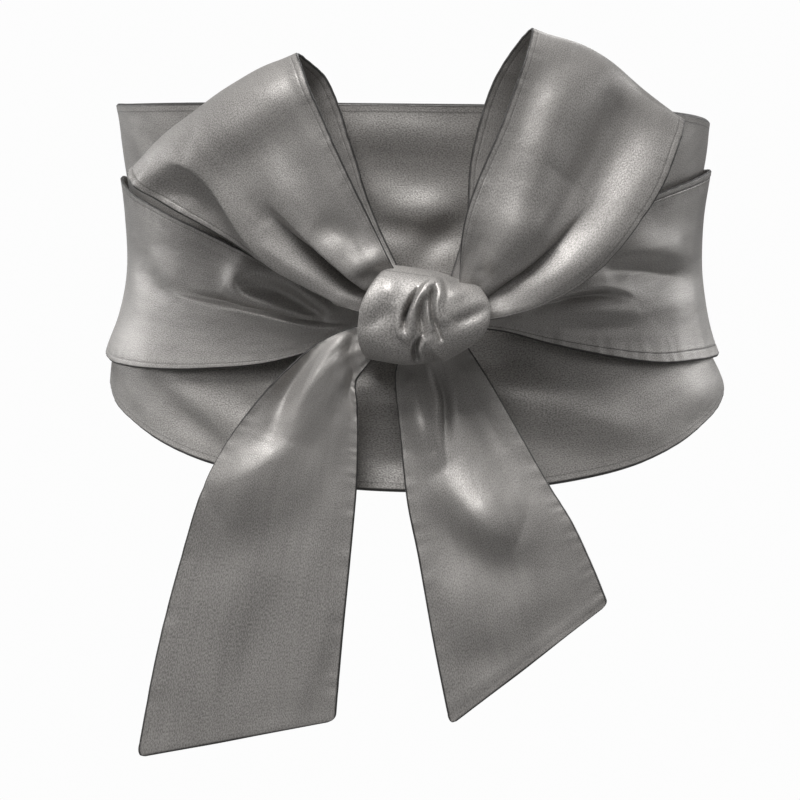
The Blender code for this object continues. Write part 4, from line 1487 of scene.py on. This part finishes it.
TAIL_LEFT_CREASES = (
    Crease(((-25, -11, 1.6), (-32, -17, 2.6), (-38.5, -25, 3.4), (-43.5, -35, 3.6), (-47.5, -46, 2.6),
            (-52, -56, 0.8)), 12, 3.6),
    Crease(((-31, -10, -1.0), (-40, -18, -3.2), (-48, -27.5, -5.2), (-54, -38, -4.4), (-58, -48, -1.8),
            (-61, -56, -0.4)), 4, 5),
    Crease(((-42, -57, 0.6), (-51, -61.5, 2.8), (-61, -66.5, 5.4), (-70, -71.5, 6.8), (-78, -76, 6.0),
            (-86, -80, 3.0)), 20, 10),
    Crease(((-37.5, -78, -0.4), (-50, -87, -0.9), (-62, -96, -1.1), (-75, -103, -1.0), (-90, -107, -0.4)),
           11, 11),
    Crease(((-25.5, -13, -1.4), (-27, -20, -2.8), (-25.5, -29, -2.8), (-27, -37, -2.0), (-25, -46.5, -0.8)),
           1.8, 2.8),
    Crease(((-35.5, -106.5, 0.4), (-38.5, -131, 1.2), (-45, -156, 1.1), (-47.5, -169.5, 0.3)), 8, 10),
    Crease(((-32, -135.5, -0.4), (-36, -152, -1.1), (-38.5, -164.5, -0.5)), 5, 5),
    Crease(((-74, -112, 0.3), (-83.5, -131, 1.1), (-90, -160, 0.8)), 14, 12),
    Crease(((-58, -112, -0.4), (-62, -130, -1.3), (-70, -155, -1.1), (-74, -178, -0.4)), 12, 12),
)
TAIL_RIGHT_ROWS = (
    StripRow((-0.003, -0.1180, -0.016), (0.018, -0.1180, -0.013), (0.000, 0.0)),
    StripRow((-0.008, -0.1170, -0.030), (0.027, -0.1170, -0.027), (-0.0005, 0.0)),
    StripRow((-0.006, -0.1210, -0.053), (0.040, -0.1200, -0.049), (-0.0015, 0.0)),
    StripRow((-0.003, -0.1260, -0.082), (0.055, -0.1240, -0.075), (-0.002, 0.0)),
    StripRow((0.002, -0.1290, -0.107), (0.0655, -0.1260, -0.092), (-0.002, 0.0)),
    StripRow((0.008, -0.1300, -0.141), (0.074, -0.1260, -0.110), (-0.001, 0.0)),
    StripRow((0.0150, -0.1300, -0.1765), (0.0805, -0.1260, -0.126), (0.000, 0.0)),
)
TAIL_RIGHT_CREASES = (
    Crease(((6.5, -25, -1.2), (9, -31.5, -2.4), (11.5, -39, -3.0), (12, -49, -2.4), (12, -59, -1.4),
            (14, -67.5, -0.4)), 3.4, 2.2),
    Crease(((0, -36, 0.6), (2, -46, 2.8), (4, -54, 4.0), (7, -62, 1.8)), 6, 6),
    Crease(((15.5, -27.5, -1.0), (19.5, -35.5, -1.8), (26.5, -46.5, -1.8),
            (32, -56.5, -1.2), (37, -64, -0.4)), 6, 6),
    Crease(((9, -71, 0.8), (17, -80, 3.4), (26, -88.5, 6.0), (35, -94, 5.2), (43, -97, 1.6)), 12, 8),
    Crease(((2, -84, -0.4), (12, -95, -2.0), (23, -105, -2.8), (36, -111, -2.2), (50, -112, -0.6)), 8, 11),
    Crease(((25.5, -22.5, 0.8), (31.5, -34, 2.0), (38, -45, 1.8), (44.5, -56, 0.8)), 6, 7),
    Crease(((8, -116, 0.4), (20, -128, 1.2), (36, -139, 1.2), (52, -142, 0.4)), 10, 9),
    Crease(((12, -150, -0.4), (30, -148, -1.1), (56, -134, -0.7)), 8, 8),
)


def main() -> None:
    """Builds the studio and every piece of the sash, in order."""
    logging.basicConfig(level=logging.INFO, format="%(name)s: %(message)s")
    Studio().build()
    groups = EffectGroups()
    form = WornForm()
    panel_satin = SatinFinish("panel satin", (0.180, 0.172, 0.163), (0.520, 0.496, 0.474), twill=0.18)
    WaistPanel(form).build(panel_satin.material(groups))

    tie_satin = SatinFinish("tie satin", (0.172, 0.164, 0.157), (0.465, 0.444, 0.424))
    tie_finish = tie_satin.material(groups)
    TieWrap("tie_wrap_left", "wrap_left", form, 1, WRAP_LEFT_ROWS, WRAP_LEFT_CREASES, 5).build(tie_finish)
    wide_hem = Hem(
        width=4.5 * MM, groove=0.5 * MM, groove_width=0.45 * MM, thicker=0.3 * MM, pucker=0.08 * MM
    )
    # The wide hem's seam line gets a stronger painted shade.
    wide_satin = replace(tie_satin, name="wide hem satin", seam_place=wide_hem.width, seam_shade=0.8)
    TieWrap(
        "tie_wrap_right", "wrap_right", form, -1, WRAP_RIGHT_ROWS, WRAP_RIGHT_CREASES, 6,
        hem=wide_hem, zone=5.4 * MM, upper_less=1.8 * MM,
    ).build(wide_satin.material(groups))

    BowKnot().build(tie_finish)
    loop_length = 0.262
    for name, node, rows, creases, seed in (
        ("bow_loop_left", "loop_left", LOOP_LEFT_ROWS, LOOP_LEFT_CREASES, 11),
        ("bow_loop_right", "loop_right", LOOP_RIGHT_ROWS, LOOP_RIGHT_CREASES, 12),
    ):
        BowLoop(name, node, rows, loop_length, creases, seed).build(tie_finish)
    # The tails' seam line gets almost no painted shade.
    tail_finish = replace(tie_satin, name="tail satin", seam_shade=0.06).material(groups)
    for name, node, rows, length, creases, seed in (
        ("bow_tail_left", "tail_left", TAIL_LEFT_ROWS, 0.196, TAIL_LEFT_CREASES, 21),
        ("bow_tail_right", "tail_right", TAIL_RIGHT_ROWS, 0.150, TAIL_RIGHT_CREASES, 22),
    ):
        BowTail(name, node, rows, length, creases, seed).build(tail_finish)


if __name__ == "__main__":
    main()
